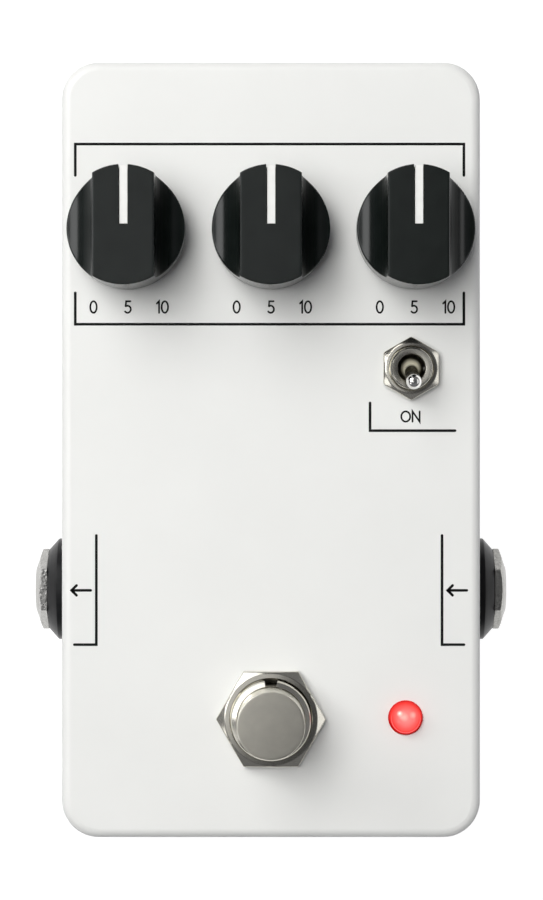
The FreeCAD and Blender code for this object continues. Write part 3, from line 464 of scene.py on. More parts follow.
def spun(outline, angles, place=Matrix()):
    """Bmesh from an outline taken round the angles: (radius, height) pairs, or functions of the angle."""
    rings = []
    for step in outline:
        ring = []
        for angle in angles:
            point = step(angle) if callable(step) else step
            if len(point) == 2:
                point = (point[0] * math.cos(angle), point[0] * math.sin(angle), point[1])
            ring.append(point)
        rings.append(ring)
    return skin(rings, place)


def add_block(bm, low, high, round_off):
    """Add a block with slightly rounded edges to a bmesh."""
    middle = (Vector(low) + Vector(high)) / 2
    size = Vector(high) - Vector(low)
    place = Matrix.Translation(middle) @ Matrix.Diagonal((*size, 1.0))
    corners = bmesh.ops.create_cube(bm, size=1.0, matrix=place)["verts"]
    edges = list({edge for corner in corners for edge in corner.link_edges})
    bmesh.ops.bevel(bm, geom=edges, offset=round_off, segments=2, affect="EDGES", profile=0.5)


def even_angles(count):
    """Angles evenly round a circle."""
    return [TURN * i / count for i in range(count)]


def fillet(radius, height, size, start, end, steps=5):
    """Points of a small round whose centre is at radius, height, between two directions in degrees."""
    turns = [math.radians(start + (end - start) * i / steps) for i in range(steps + 1)]
    return [(radius + size * math.cos(t), height + size * math.sin(t)) for t in turns]


def at(x, y, z=0.0):
    """Place that moves a shape to x, y, z in millimetres."""
    return Matrix.Translation((x, y, z))


def hex_radius(flats, corner, sharpness):
    """Radius of a hexagon with rounded corners, sharper for a higher number, as a function of the angle."""
    normals = [corner + math.pi / 6 + i * math.pi / 3 for i in range(6)]

    def radius(angle):
        """Radius at an angle: a smooth minimum over the six flats."""
        total = sum(max(0.0, math.cos(angle - n)) ** sharpness for n in normals)
        return flats / 2 * total ** (-1 / sharpness)
    return radius


NUT_EDGE = 0.12
NUT_STEPS = 240


def nut(flats, crown, bore, z0, z1, corner, slope_deg, sharpness, place, mouth=0.25, lean=0.0):
    """Hexagonal nut with cone-shaped corners, rounded edges and a top that falls by lean to its crown."""
    edge = hex_radius(flats, corner, sharpness)
    slope = math.tan(math.radians(slope_deg))
    soft = NUT_EDGE

    def side(inset, drop):
        """Outline step in from the flats and down from the cone."""
        def step(angle):
            radius = edge(angle) - inset
            return radius, min(z1, z1 - (radius - crown) * slope) - drop - lean
        return step
    outline = [(bore, z0), (bore, z1 - mouth), (bore + mouth, z1), (crown - soft, z1 - lean),
               (crown, z1 - lean - 0.01), (crown + soft, z1 - lean - soft * slope)]
    outline += [side(soft * 2, 0.0), side(soft, 0.0), side(soft * 0.3, soft * 0.25), side(0.0, soft)]
    outline += [lambda a: (edge(a), z0 + soft), lambda a: (edge(a) - soft, z0), (bore, z0)]
    return spun(outline, even_angles(NUT_STEPS), place)


STEPS_PER_PITCH = 8


def thread(radius, depth, pitch, z0, z1):
    """Outline steps of an outside thread, from z0 up to z1."""
    count = max(2, round((z1 - z0) / pitch * STEPS_PER_PITCH))

    def step(height):
        """Outline step whose radius follows the winding of the thread."""
        def ring(angle):
            turn = (height / pitch - angle / TURN) % 1.0
            fade = min(1.0, (z1 - height) / pitch * 2)
            return radius - depth * fade * abs(2 * turn - 1), height
        return ring
    return [step(z0 + (z1 - z0) * i / count) for i in range(count + 1)]


# ---------------------------------------------------------------- knobs

KNOB_FILLET = 0.22
KNOB_RIM = 0.22
KNOB_DRAFT = 0.05
GROOVE_WALL = 0.02
GROOVE_DEPTH = 0.6
POINTER_SUNK = 0.34
POINTER_GAP = 0.13
BAR_HALF = 4.55
COVE_RADIUS = 4.3
COVE_TOP = 4.6
SLOT_DROP = 6.0
KNOB_BORE = 3.02
KNOB_BORE_TOP_GAP = 0.3
KNOB_HUB = 4.4
KNOB_HUB_BOTTOM = 3.1
KNOB_CEILING = 4.8
KNOB_SKIRT = 1.5


def bar_height(x, top):
    """Height of the knob's top over x, from the flat bar down into the cove."""
    x = abs(x)
    shoulder = BAR_HALF - KNOB_FILLET
    if x <= shoulder:
        return top
    if x <= BAR_HALF:
        return top - KNOB_FILLET + math.sqrt(max(0.0, KNOB_FILLET ** 2 - (x - shoulder) ** 2))
    cove_z = top - COVE_TOP
    foot = BAR_HALF + KNOB_DRAFT
    if x <= foot:
        return top - KNOB_FILLET + (cove_z - top + KNOB_FILLET) * (x - BAR_HALF) / KNOB_DRAFT
    return cove_z - math.sqrt(max(0.0, COVE_RADIUS ** 2 - (foot + COVE_RADIUS - x) ** 2))


def knob_columns(radius, groove):
    """Distances from the middle plane at which the knob's loops are taken."""
    shoulder, foot = BAR_HALF - KNOB_FILLET, BAR_HALF + KNOB_DRAFT
    right = [radius * math.cos(math.radians(a)) for a in range(0, 90, 3)]
    right += [shoulder + KNOB_FILLET * math.sin(math.radians(a)) for a in range(0, 91, 15)]
    right += [foot + COVE_RADIUS * (1 - math.cos(math.radians(a))) for a in (0, 4, 8, 12, 17, 23, 30)]
    right += [groove, groove + GROOVE_WALL]
    right = sorted(set(round(x, 5) for x in right if x > 1e-4))
    return [-x for x in reversed(right)] + [0.0] + right


def knob_loop(x, radius, z1, groove, under):
    """Closed loop round the knob at one distance from its middle plane."""
    phi = math.acos(max(-1.0, min(1.0, x / radius)))
    top = bar_height(x, z1)
    cut = GROOVE_DEPTH if abs(x) <= groove + 1e-6 else 0.0

    def half_chord(reach):
        """Half the chord of a circle of this radius."""
        return math.sqrt(max(0.0, reach ** 2 - x ** 2))

    def drop(reach):
        """Fall of the rounded rim below the top."""
        over = max(reach, abs(x)) - (radius - KNOB_RIM)
        return KNOB_RIM - math.sqrt(max(0.0, KNOB_RIM ** 2 - max(0.0, over) ** 2))

    rim = [radius - KNOB_RIM + KNOB_RIM * math.cos(math.radians(a)) for a in (0, 18, 36, 54, 72, 90)]
    flat = half_chord(radius - KNOB_RIM)
    loop = [(r * math.cos(phi), -r * math.sin(phi), z) for r, z in under]
    loop += [(x, -half_chord(r), top - drop(r)) for r in rim]
    loop += [(x, -flat * share, top - drop(0)) for share in (0.8, 0.6, 0.4, 0.2, 0.1)]
    start = -min(GROOVE_WALL, flat * 0.05)
    loop += [(x, start, top - drop(0)), (x, 0.0, top - drop(0) - cut)]
    flat_end = half_chord(radius - KNOB_RIM - cut)
    loop += [(x, flat_end * share, top - drop(0) - cut) for share in (0.1, 0.2, 0.4, 0.6, 0.8)]
    loop += [(x, half_chord(r - cut), top - drop(r) - cut) for r in reversed(rim)]
    slot_z = min(z1 - SLOT_DROP, top - KNOB_RIM)
    loop += [(x, half_chord(radius - cut), slot_z + min(GROOVE_WALL, cut)), (x, half_chord(radius), slot_z)]
    loop += [(r * math.cos(phi), r * math.sin(phi), z) for r, z in reversed(under)]
    return loop


def knob_underside(radius, z0, bore_top):
    """Half outline of the knob from below: bore, hub, hollow, skirt and its rounded foot."""
    hub, ceiling = z0 + KNOB_HUB_BOTTOM, z0 + KNOB_CEILING
    inside = radius - KNOB_SKIRT
    return [(0.0, bore_top), (KNOB_BORE, bore_top), (KNOB_BORE, hub), (KNOB_HUB, hub), (KNOB_HUB, ceiling),
            (inside, ceiling), (inside, z0 + 0.2), (inside + 0.2, z0), (radius - 0.35, z0),
            (radius - 0.1, z0 + 0.1), (radius, z0 + 0.35)]


def knob(name, body):
    """Round knob with two scooped sides, a broad bar and a slot for the pointer."""
    low, high = node_span(name + "_knob")
    x, y = centre_of(name + "_knob")
    radius = (high.x - low.x) / 2
    slot_low, slot_high = node_span(name + "_pointer")
    groove = (slot_high.x - slot_low.x) / 2
    bore_top = node_span(name + "_shaft")[1].z + KNOB_BORE_TOP_GAP
    under = knob_underside(radius, low.z, bore_top)
    loops = [knob_loop(c, radius, high.z, groove, under) for c in knob_columns(radius, groove)]
    stand_in(name + "_knob_body", skin(loops, at(x, y)), FINISHES["knob_black"], body,
             name + "_knob")


def pointer(name, body):
    """White strip laid in the slot, over the top and down the rear end of the bar."""
    low, high = node_span(name + "_pointer")
    left_x, right_x = low.x + POINTER_GAP, high.x - 0.015
    top, bottom = high.z - POINTER_SUNK, high.z - GROOVE_DEPTH + 0.01
    rear, inner = high.y - POINTER_SUNK * 0.5, high.y - GROOVE_DEPTH + 0.03
    start, foot = low.y + 0.1, low.z + 0.05
    side = [(start, bottom), (start, top), (rear, top), (rear, foot), (inner, foot), (inner, bottom)]
    bm = bmesh.new()
    left = [bm.verts.new((left_x, *point)) for point in side]
    right = [bm.verts.new((right_x, *point)) for point in side]
    bm.faces.new(left)
    bm.faces.new(right[::-1])
    for i in range(len(side)):
        j = (i + 1) % len(side)
        bm.faces.new((left[i], right[i], right[j], left[j]))
    bmesh.ops.bevel(bm, geom=bm.edges, offset=0.07, segments=3, affect="EDGES", profile=0.5)
    stand_in(name + "_pointer_strip", bm, FINISHES["pointer_white"], body,
             name + "_pointer")


# ---------------------------------------------------------------- toggle switch

CROWN_DEG = 30
STRAP = 0.5
STRAP_HALF = 2.5
TOGGLE_THREAD = 0.16
TOGGLE_PITCH = 0.6
LEVER_LENGTH = 13.2
LEVER_TIP = 1.15
LEVER_BALL = 1.95
LEVER_NECK = 0.95
LEVER_TAIL = 0.8
LEVER_TAIL_END = -4.7


def toggle():
    """Nut, threaded bushing and lever of the toggle."""
    x, y = centre_of("toggle_nut")
    low, high = node_span("toggle_nut")
    flats, crown, bore = high.x - low.x - 0.1, 3.85, 3.2
    form = nut(flats, crown, bore, low.z, high.z, corner=math.pi / 2, slope_deg=CROWN_DEG, sharpness=38,
               place=at(x, y), lean=0.04)
    stand_in("toggle_hex_nut", form, FINISHES["nickel"], "housing", "toggle_nut")
    toggle_bushing(x, y)
    toggle_lever()


def toggle_bushing(x, y):
    """Threaded tube with a rounded mouth on the plate whose straps hold the case."""
    low, high = node_span("toggle_bushing")
    case_top = node_span("toggle_body")[1].z
    plate_top = node_span("toggle_lock_washer")[0].z
    top, radius, bore = high.z, 3.175, 2.15
    outline = [(bore, case_top), (bore, top - 0.06), (bore + 0.14, top), (radius - 0.26, top)]
    outline += [(radius - 0.05, top - 0.14), (radius, top - 0.25)]
    outline += reversed(thread(radius, TOGGLE_THREAD, TOGGLE_PITCH, plate_top, top - 0.35))
    outline += [(radius, case_top), (bore, case_top)]
    bm = spun(outline, even_angles(160), at(x, y))
    add_block(bm, (low.x, low.y, case_top), (high.x, high.y, plate_top), 0.08)
    for inner, outer in ((low.x, low.x + STRAP), (high.x - STRAP, high.x)):
        add_block(bm, (inner, y - STRAP_HALF, low.z), (outer, y + STRAP_HALF, case_top + 0.2), 0.08)
    metal = bored_nickel("toggle_nickel", (x, y), bore, top + 1)
    stand_in("toggle_threaded_bushing", bm, metal, "housing", "toggle_bushing")


def toggle_lever():
    """Ball, tapered neck and rounded tip, turned about the lever's own leaning axis."""
    throw = joint_of("toggle_throw")
    pivot = Vector(throw["pos_m"]) / MM
    half_throw = math.radians(throw["range_deg"][1] / 2)
    foot = math.degrees(math.asin(LEVER_TAIL / LEVER_BALL))
    collar = math.degrees(math.acos(LEVER_NECK / LEVER_BALL))
    collar_z = LEVER_BALL * math.sin(math.radians(collar))
    outline = [(0, LEVER_TAIL_END), (LEVER_TAIL - 0.2, LEVER_TAIL_END), (LEVER_TAIL, LEVER_TAIL_END + 0.2)]
    outline += fillet(0, 0, LEVER_BALL, foot - 90, collar, 24)
    outline += fillet(LEVER_NECK + 0.35, collar_z + 0.3, 0.35, 200, 180, 3)
    neck_z, tip_z = 2.2, LEVER_LENGTH - LEVER_TIP
    for share in (0.1, 0.35, 0.6, 0.85):
        outline.append((LEVER_NECK + (LEVER_TIP - LEVER_NECK) * share, neck_z + (tip_z - neck_z) * share))
    outline += fillet(0, tip_z, LEVER_TIP, 0, 90, 14)
    place = Matrix.Translation(pivot) @ Matrix.Rotation(half_throw, 4, "X")
    form = spun(outline, even_angles(72), place)
    stand_in("toggle_bat_lever", form, lever_metal((pivot.x, pivot.y)), "lever", "toggle_lever")


# ---------------------------------------------------------------- foot switch

FOOT_THREAD = 0.22
FOOT_PITCH = 0.75
FOOT_CAVITY = 5.6
PLUNGER_DOME = 0.07
SPRING_WIRE_RADIUS = 0.3
SPRING_TURNS = 7
STEPS_PER_TURN = 32


def foot_switch():
    """Nut, threaded bushing with its locating groove, push button and return spring."""
    x, y = centre_of("footswitch_nut")
    low, high = node_span("footswitch_nut")
    flats, crown, bore = high.y - low.y, 6.97, 6.05
    form = nut(flats, crown, bore, low.z, high.z, corner=0.0, slope_deg=CROWN_DEG, sharpness=800,
               place=at(x, y), lean=0.05)
    stand_in("footswitch_hex_nut", form, FINISHES["nickel"], "housing", "footswitch_nut")
    foot_bushing(x, y)
    plunger(x, y)
    return_spring(x, y)


def foot_bushing(x, y):
    """Bushing with a thread, a rounded mouth and a groove at the rear."""
    low, high = node_span("footswitch_bushing")
    radius, bore = 6.0, 5.15
    top, ledge = high.z, low.z + 3.2
    key_half, key_depth = 0.95, 0.8
    inner, outer, drop = 5.32, 5.86, 0.27

    def grooved(step):
        """Outline step with the locating groove cut into its rear."""
        def ring(angle):
            r, z = step(angle) if callable(step) else step
            across, along = r * math.cos(angle), r * math.sin(angle)
            if z > ledge + 1 and along > radius - key_depth and abs(across) < key_half:
                along = radius - key_depth
            return across, along, z
        return ring
    outline = [(bore, top - 0.1)] + fillet(inner - 0.1, top - 0.1, 0.1, 150, 90, 4)
    outline += [(outer, top - drop), (radius - 0.03, top - drop - 0.16)]
    outline += reversed(thread(radius, FOOT_THREAD, FOOT_PITCH, low.z, top - drop - 0.2))
    outline += [(FOOT_CAVITY, low.z), (FOOT_CAVITY, ledge), (bore, ledge), (bore, top - 0.1)]
    corners = [math.acos(key_half / r) for r in (radius, radius - key_depth)]
    walls = [a + shift for a in corners for shift in (-0.004, 0.004)]
    angles = sorted(even_angles(240) + walls + [math.pi - a for a in walls])
    bm = spun([grooved(step) for step in outline], angles, at(x, y))
    metal = bored_nickel("footswitch_nickel", (x, y), FOOT_CAVITY, top - 0.7)
    stand_in("footswitch_threaded_bushing", bm, metal, "housing", "footswitch_bushing")


def plunger(x, y):
    """Push button with a thin bright edge, a stop flange and a bored foot."""
    low, high = node_span("footswitch_plunger")
    radius, flange, bore = 5.05, 5.5, 3.3
    top, edge = high.z, 0.15
    roof = node_span("footswitch_spring")[1].z
    rim = top - PLUNGER_DOME
    outline = [(r, top - PLUNGER_DOME * (r / radius) ** 2) for r in (0.0, 1.0, 2.0, 3.0, 4.0, 4.6)]
    outline += fillet(radius - edge, rim - edge, edge, 84, 0, 4)
    outline += [(radius, low.z + 1.2), (flange - 0.1, low.z + 1.2), (flange, low.z + 1.1)]
    outline += [(flange, low.z + 0.1), (flange - 0.1, low.z), (bore, low.z), (bore, roof), (0, roof)]
    form = spun(outline, even_angles(180), at(x, y))
    stand_in("footswitch_button", form, FINISHES["satin_metal"], "plunger",
             "footswitch_plunger")


def spring_height(turn, foot, length):
    """Height of the spring's wire: a closed turn at each end and an even climb between them."""
    closed = 2 * SPRING_WIRE_RADIUS
    pitch = (length - 2 * closed) / (SPRING_TURNS - 2)
    if turn < 1:
        return foot + closed * turn
    if turn < SPRING_TURNS - 1:
        return foot + closed + pitch * (turn - 1)
    return foot + length - closed * (SPRING_TURNS - turn)


def wire_ring(turn, radius, z, size):
    """Section of the wire, of the given size, at a turn of the coil."""
    angle = TURN * turn
    ring = []
    for around in even_angles(10):
        reach = radius + size * math.cos(around)
        ring.append((reach * math.cos(angle), reach * math.sin(angle), z + size * math.sin(around)))
    return ring


def return_spring(x, y):
    """Coil with a closed turn at each end."""
    low, high = node_span("footswitch_spring")
    radius = (high.x - low.x) / 2 - SPRING_WIRE_RADIUS
    foot, length = low.z + SPRING_WIRE_RADIUS, high.z - low.z - 2 * SPRING_WIRE_RADIUS
    turns = [i / STEPS_PER_TURN for i in range(STEPS_PER_TURN * SPRING_TURNS + 1)]
    sections = [(0, 0.0)] + [(turn, SPRING_WIRE_RADIUS) for turn in turns] + [(SPRING_TURNS, 0.0)]
    rings = [wire_ring(turn, radius, spring_height(turn, foot, length), size) for turn, size in sections]
    piece = stand_in("footswitch_return_spring", skin(rings, at(x, y)), FINISHES["steel"], "housing",
                     "footswitch_spring")
    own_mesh(piece)


# ---------------------------------------------------------------- lamp

LAMP_FLANGE = 2.9
LAMP_FLANGE_HEIGHT = 1.0


def lamp():
    """Domed lamp whose flange sits on its spacer."""
    x, y = centre_of("led_lamp")
    low, high = node_span("led_lamp")
    shoulder = high.z - LAMP_RADIUS
    flange_top = low.z + LAMP_FLANGE_HEIGHT
    outline = [(0, low.z), (LAMP_FLANGE - 0.1, low.z), (LAMP_FLANGE, low.z + 0.1)]
    outline += [(LAMP_FLANGE, flange_top - 0.1), (LAMP_FLANGE - 0.1, flange_top), (LAMP_RADIUS, flange_top)]
    outline += fillet(0, shoulder, LAMP_RADIUS, 0, 90, 28)
    form = spun(outline, even_angles(120), at(x, y))
    piece = stand_in("lamp_lens", form, FINISHES["lens_red"], "housing", "led_lamp")
    piece.visible_glossy = False


# ---------------------------------------------------------------- signal jacks

SIDE_LEAN = 1.3
WASHER_RIM = 0.9
WASHER_TIP = 6.3
JACK_BORE = 4.8
JACK_CROWN = 4.92
JACK_DOME_DEG = 20


def signal_jack(side, sign):
    """Tapered washer and crowned nut of one jack, built along its own axis."""
    low, high = node_span(side + "_jack_nut")
    y, z = (low.y + high.y) / 2, (low.z + high.z) / 2
    near, far = sorted((abs(low.x), abs(high.x)))
    turn = Matrix.Rotation(sign * math.pi / 2, 4, "Y")
    place = Matrix.Translation((0, y, z)) @ turn
    form = nut(high.z - low.z, JACK_CROWN, JACK_BORE, near, far, corner=math.pi / 2,
               slope_deg=JACK_DOME_DEG, sharpness=110, place=place, mouth=0.0)
    stand_in(side + "_jack_hex_nut", form, JACK_NICKEL[side], "housing", side + "_jack_nut")
    washer(side, sign, near, z, place)


def washer(side, sign, face, axis_z, place):
    """Tapered washer with a short rim, its back following the lean of the box's side."""
    low, high = node_span(side + "_jack_washer")
    outer = (high.y - low.y) / 2
    joint_z = node_span("base_plate")[1].z
    wall_x = node_span("enclosure")[1].x
    lean = SIDE_LEAN / (FACE - joint_z)

    def seat(radius):
        """Outline step that lies on the leaning side of the box."""
        def ring(angle):
            height = axis_z - sign * radius * math.cos(angle)
            return radius, wall_x - lean * (height - joint_z)
        return ring
    rim = wall_x - lean * (axis_z - joint_z)
    start, end = face - 0.08, rim + WASHER_RIM
    outline = [(JACK_BORE, face), (WASHER_TIP - 0.15, face), (WASHER_TIP, start)]
    for share in (0.33, 0.66, 0.97):
        outline.append((WASHER_TIP + (outer - WASHER_TIP) * share, start + (end - start) * share))
    outline += [(outer, end - 0.08), seat(outer), seat(JACK_BORE), (JACK_BORE, face)]
    form = spun(outline, even_angles(160), place)
    stand_in(side + "_jack_cone_washer", form, WASHER, "housing", side + "_jack_washer")


# ---------------------------------------------------------------- printing on the face

PRINT_HEIGHT = 0.02
LINE_WIDTH = 0.405


def ribbon(points, width=LINE_WIDTH, closed=False):
    """Flat line with mitred corners and round ends, as a list of faces of plan points."""
    half = width / 2
    pts = [Vector(p) for p in points]
    count = len(pts)
    lefts, rights = [], []
    for i, p in enumerate(pts):
        before = pts[i - 1] if i or closed else None
        after = pts[(i + 1) % count] if i < count - 1 or closed else None
        into = (p - before).normalized() if before else (after - p).normalized()
        out = (after - p).normalized() if after else into
        tangent = (into + out).normalized()
        normal = Vector((-tangent.y, tangent.x))
        stretch = half / max(0.3, normal.dot(Vector((-into.y, into.x))))
        lefts.append(p + normal * stretch)
        rights.append(p - normal * stretch)
    faces = []
    last = count if closed else count - 1
    for i in range(last):
        j = (i + 1) % count
        faces.append([lefts[i], rights[i], rights[j], lefts[j]])
    if not closed:
        faces.append(round_end(pts[0], pts[0] - pts[1], half))
        faces.append(round_end(pts[-1], pts[-1] - pts[-2], half))
    return faces


def round_end(centre, direction, radius, steps=10):
    """Half disc that rounds off the end of a line."""
    facing = math.atan2(direction.y, direction.x)
    turns = [facing + math.pi * (i / steps - 0.5) for i in range(steps + 1)]
    return [centre + Vector((math.cos(t), math.sin(t))) * radius for t in turns]


def arc(x, y, rx, ry, start, end, steps=20):
    """Points of an elliptical arc between two directions in degrees."""
    turns = [math.radians(start + (end - start) * i / steps) for i in range(steps + 1)]
    return [(x + rx * math.cos(t), y + ry * math.sin(t)) for t in turns]


# Strokes of the digits and letters: advance, then lines of points with whether each is closed
GLYPH_HEIGHT = 1.8
GLYPH_GAP = 0.25
FIVE_BOWL = arc(0.44, 0.55, 0.5, 0.55, 120, -140, 20)
GLYPHS = {
    "0": (1.25, [(arc(0.5, 0.9, 0.5, 0.9, 0, 342, 28), True)]),
    "1": (0.85, [([(0.1, 1.45), (0.45, 1.8), (0.45, 0.0)], False)]),
    "5": (1.2, [([(0.88, 1.8), (0.22, 1.8), (0.14, 1.05)] + FIVE_BOWL, False)]),
    "O": (1.95, [(arc(0.75, 0.9, 0.78, 0.9, 0, 348, 32), True)]),
    "N": (1.6, [([(0.0, 0.0), (0.0, 1.8), (1.25, 0.0), (1.25, 1.8)], False)]),
}


def text_faces(text, x, y, height, width):
    """Strokes of a short text centred on x, y."""
    scale = height / GLYPH_HEIGHT
    total = sum(GLYPHS[c][0] for c in text) - GLYPH_GAP
    faces, cursor = [], -total / 2
    for c in text:
        advance, strokes = GLYPHS[c]
        for points, closed in strokes:
            placed = [(x + (cursor + px) * scale, y + (py - GLYPH_HEIGHT / 2) * scale) for px, py in points]
            faces += ribbon(placed, width, closed)
        cursor += advance
    return faces


KNOB_BRACKET_X = (-29.66, 29.24)
KNOB_BRACKET_TOP = 46.35
KNOB_BRACKET_BOTTOM = 19.04
KNOB_BRACKET_LEG = 4.75
JACK_BRACKET_X = (-26.47, 25.93)
JACK_BRACKET_TOP = -12.98
JACK_BRACKET_BOTTOM = -29.53
JACK_BRACKET_FOOT = 3.33
JACK_ARROW_GAP = 2.3
JACK_ARROW_Y = -21.3
ARROW_REACH = 1.45
ARROW_HEAD = 0.75
TOGGLE_BRACKET = ((15.02, 7.1), (15.02, 2.91), (27.9, 2.91))
TOGGLE_LABEL_Y = 5.05
TOGGLE_LABEL_HEIGHT = 1.55
LABEL_Y = 21.65
LABEL_SHIFT = 5.2
LABEL_HEIGHT = 1.75
LABEL_STROKE = 0.27


def knob_brackets():
    """Ruled bracket over the knobs and one under their numbers."""
    faces = []
    left, right = KNOB_BRACKET_X
    for level, tip in ((KNOB_BRACKET_TOP, -KNOB_BRACKET_LEG), (KNOB_BRACKET_BOTTOM, KNOB_BRACKET_LEG)):
        faces += ribbon([(left, level + tip), (left, level), (right, level), (right, level + tip)])
    return faces


def jack_marks():
    """Ruled bracket and arrow beside each signal jack."""
    faces = []
    for x in JACK_BRACKET_X:
        side = math.copysign(1, x)
        foot = x + side * JACK_BRACKET_FOOT
        faces += ribbon([(x, JACK_BRACKET_TOP), (x, JACK_BRACKET_BOTTOM), (foot, JACK_BRACKET_BOTTOM)])
        faces += jack_arrow(x + side * JACK_ARROW_GAP, JACK_ARROW_Y)
    return faces


def scale_numbers():
    """The plain numbers under each knob."""
    faces = []
    for name in CONTROLS:
        x = centre_of(name + "_knob")[0]
        for shift, text in ((-LABEL_SHIFT, "0"), (0.0, "5"), (LABEL_SHIFT, "10")):
            faces += text_faces(text, x + shift, LABEL_Y, LABEL_HEIGHT, LABEL_STROKE)
    return faces


def printing():
    """Ruled lines, plain numbers under the knobs, a switch mark and an arrow at each jack."""
    toggle_x = centre_of("toggle_nut")[0]
    faces = knob_brackets() + jack_marks() + ribbon(TOGGLE_BRACKET)
    faces += text_faces("ON", toggle_x, TOGGLE_LABEL_Y, TOGGLE_LABEL_HEIGHT, LABEL_STROKE)
    faces += scale_numbers()
    bm = bmesh.new()
    for face in faces:
        add_film(bm, face, FACE - PRINT_HEIGHT, FACE + PRINT_HEIGHT)
    piece_from("panel_print", bm, INK, "housing")


def add_film(bm, outline, z0, z1):
    """Add a thin flat plate with the given outline to a bmesh."""
    low = [bm.verts.new((p[0], p[1], z0)) for p in outline]
    high = [bm.verts.new((p[0], p[1], z1)) for p in outline]
    bm.faces.new(low[::-1])
    bm.faces.new(high)
    for i in range(len(low)):
        j = (i + 1) % len(low)
        bm.faces.new((low[i], low[j], high[j], high[i]))


def jack_arrow(x, y):
    """Arrow to the left: out of the box on one side and into it on the other."""
    point, barb = x - ARROW_REACH, x - ARROW_REACH + ARROW_HEAD
    shaft = ribbon([(x + ARROW_REACH, y), (point, y)])
    tip = ribbon([(barb, y + ARROW_HEAD), (point, y), (barb, y - ARROW_HEAD)])
    return shaft + tip


# ---------------------------------------------------------------- studio

# Camera: height over the face, what its frame takes in there from top to bottom, place on the plan
CAMERA_ABOVE_FACE = 500.0
FRAME_HEIGHT_ON_FACE = 136.42
CAMERA_OFFSET = (0.083, -0.023)
SENSOR = 36.0

# Room light: height of the direction, from 0 at and below the horizon to 1 straight above, and its level
SKY = ((0.0, 0.42), (0.02, 0.14), (0.3, 0.12), (0.5, 0.18), (0.8, 0.14), (0.93, 0.06), (1.0, 0.05))
SKY_TINT = (0.985, 0.99, 1.03)

# Lights: name, azimuth and elevation in degrees, distance and size in metres, power in watts, and
# whether it shows only in reflections or lights only matt surfaces
SOFTBOXES = (
    ("key", 150, 72, 0.9, (0.48, 0.48), 5.5, False),
    ("wing", 120, 48, 0.9, (0.45, 0.34), 1.85, False),
    ("strip", 150, 28, 0.9, (0.33, 0.33), 1.35, False),
    ("side", 10, 42, 1.1, (0.28, 0.56), 0.45, False),
    ("key_card", 128, 42, 0.9, (0.66, 0.56), 1.9, True),
    ("left_card", 174, 53, 0.9, (0.24, 0.5), 1.15, True),
    ("low_card", 209, 31, 0.9, (0.28, 0.3), 0.4, True),
    ("right_card", 4, 27, 0.9, (0.95, 0.28), 0.85, True),
    ("top_card", 165, 81, 0.9, (0.5, 0.34), 0.3, True),
    ("spark", 141, 34, 0.9, (0.18, 0.18), 1.5, True),
    ("rear_card", 154, 30, 0.9, (0.3, 0.24), 0.4, True),
)


def camera():
    """Camera straight above the face, its top towards the rear."""
    data = bpy.data.cameras.new("camera")
    data.sensor_width = SENSOR
    data.lens = SENSOR * CAMERA_ABOVE_FACE / FRAME_HEIGHT_ON_FACE
    data.clip_start, data.clip_end = 0.01, 20.0
    view = bpy.data.objects.new("camera", data)
    view.location = Vector((*CAMERA_OFFSET, FACE + CAMERA_ABOVE_FACE)) * MM
    bpy.context.scene.collection.objects.link(view)
    bpy.context.scene.camera = view


def floor():
    """Plain pale floor that stays bright under the object."""
    bm = bmesh.new()
    bmesh.ops.create_grid(bm, x_segments=8, y_segments=8, size=3.0)
    mesh = bpy.data.meshes.new("floor")
    bm.to_mesh(mesh)
    bm.free()
    shader = Shader("pale_floor", roughness=0.8, Specular_IOR_Level=0.0)
    shader.tint(shader.noise(60.0), (0.20, 0.20, 0.20), (0.22, 0.22, 0.22))
    shader.set("Emission Color", (1.0, 1.0, 1.0, 1.0))
    shader.set("Emission Strength", 0.97)
    mesh.materials.append(shader.material)
    ground = bpy.data.objects.new("floor", mesh)
    bpy.context.scene.collection.objects.link(ground)
    ground.visible_diffuse = False


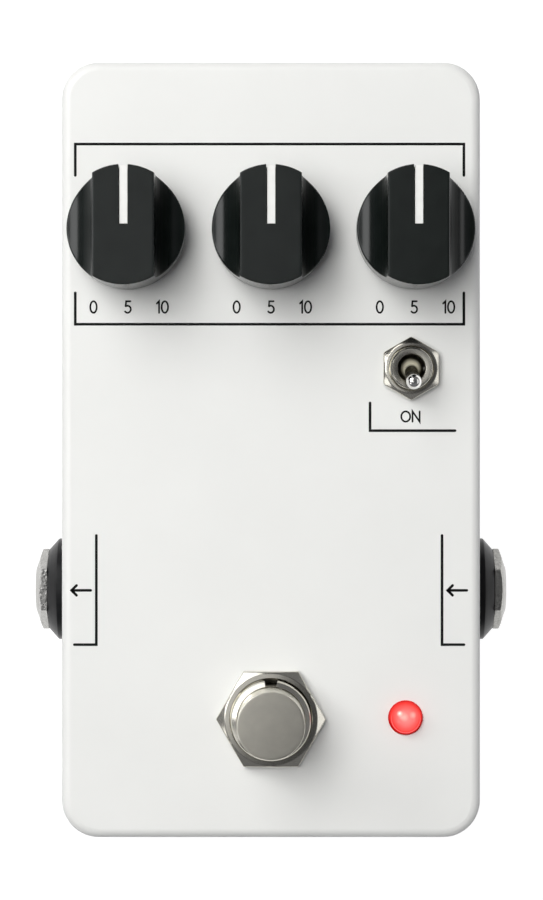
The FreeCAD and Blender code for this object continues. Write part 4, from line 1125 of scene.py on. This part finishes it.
def softbox(name, azimuth, elevation, distance, size, power, reflected):
    """Rectangular light aimed at the face: it lights matt surfaces, or it only shows as a reflection."""
    around, up = math.radians(azimuth), math.radians(elevation)
    level = math.cos(up)
    direction = Vector((level * math.cos(around), level * math.sin(around), math.sin(up)))
    data = bpy.data.lights.new(name, "AREA")
    data.shape = "RECTANGLE"
    data.size, data.size_y = size
    data.energy = power
    data.color = (1.0, 1.0, 1.0) if reflected else (1.0, 1.0, 0.97)
    light = bpy.data.objects.new(name, data)
    light.location = Vector((0, 0, FACE * MM)) + direction * distance
    light.rotation_euler = (-direction).to_track_quat("-Z", "Y").to_euler()
    light.visible_glossy = reflected
    light.visible_diffuse = not reflected
    bpy.context.scene.collection.objects.link(light)


def surroundings():
    """Dim room: grey from below, as off a floor, and darker from the sides and from straight above."""
    world = bpy.data.worlds.new("studio")
    bpy.context.scene.world = world
    world.use_nodes = True
    tree = world.node_tree
    background = tree.nodes["Background"]
    direction = tree.nodes.new("ShaderNodeTexCoord")
    parts = tree.nodes.new("ShaderNodeSeparateXYZ")
    ramp = tree.nodes.new("ShaderNodeValToRGB")
    tree.links.new(direction.outputs["Generated"], parts.inputs["Vector"])
    tree.links.new(parts.outputs["Z"], ramp.inputs["Fac"])
    tree.links.new(ramp.outputs["Color"], background.inputs["Color"])
    elements = ramp.color_ramp.elements
    while len(elements) < len(SKY):
        elements.new(0.5)
    for element, (height, level) in zip(elements, SKY):
        element.position = height
        element.color = (*(tint * level for tint in SKY_TINT), 1.0)


def studio():
    """Floor, room light, softboxes, reflection cards and the camera."""
    floor()
    surroundings()
    for settings in SOFTBOXES:
        softbox(*settings)
    bpy.context.scene.view_settings.view_transform = "Standard"
    camera()


def main():
    """Dress the frame, build the detailed pieces and set up the studio."""
    dress_frame()
    for name in CONTROLS:
        knob(name, name + "_control")
        pointer(name, name + "_control")
    toggle()
    foot_switch()
    lamp()
    signal_jack("input", 1)
    signal_jack("output", -1)
    printing()
    studio()


main()
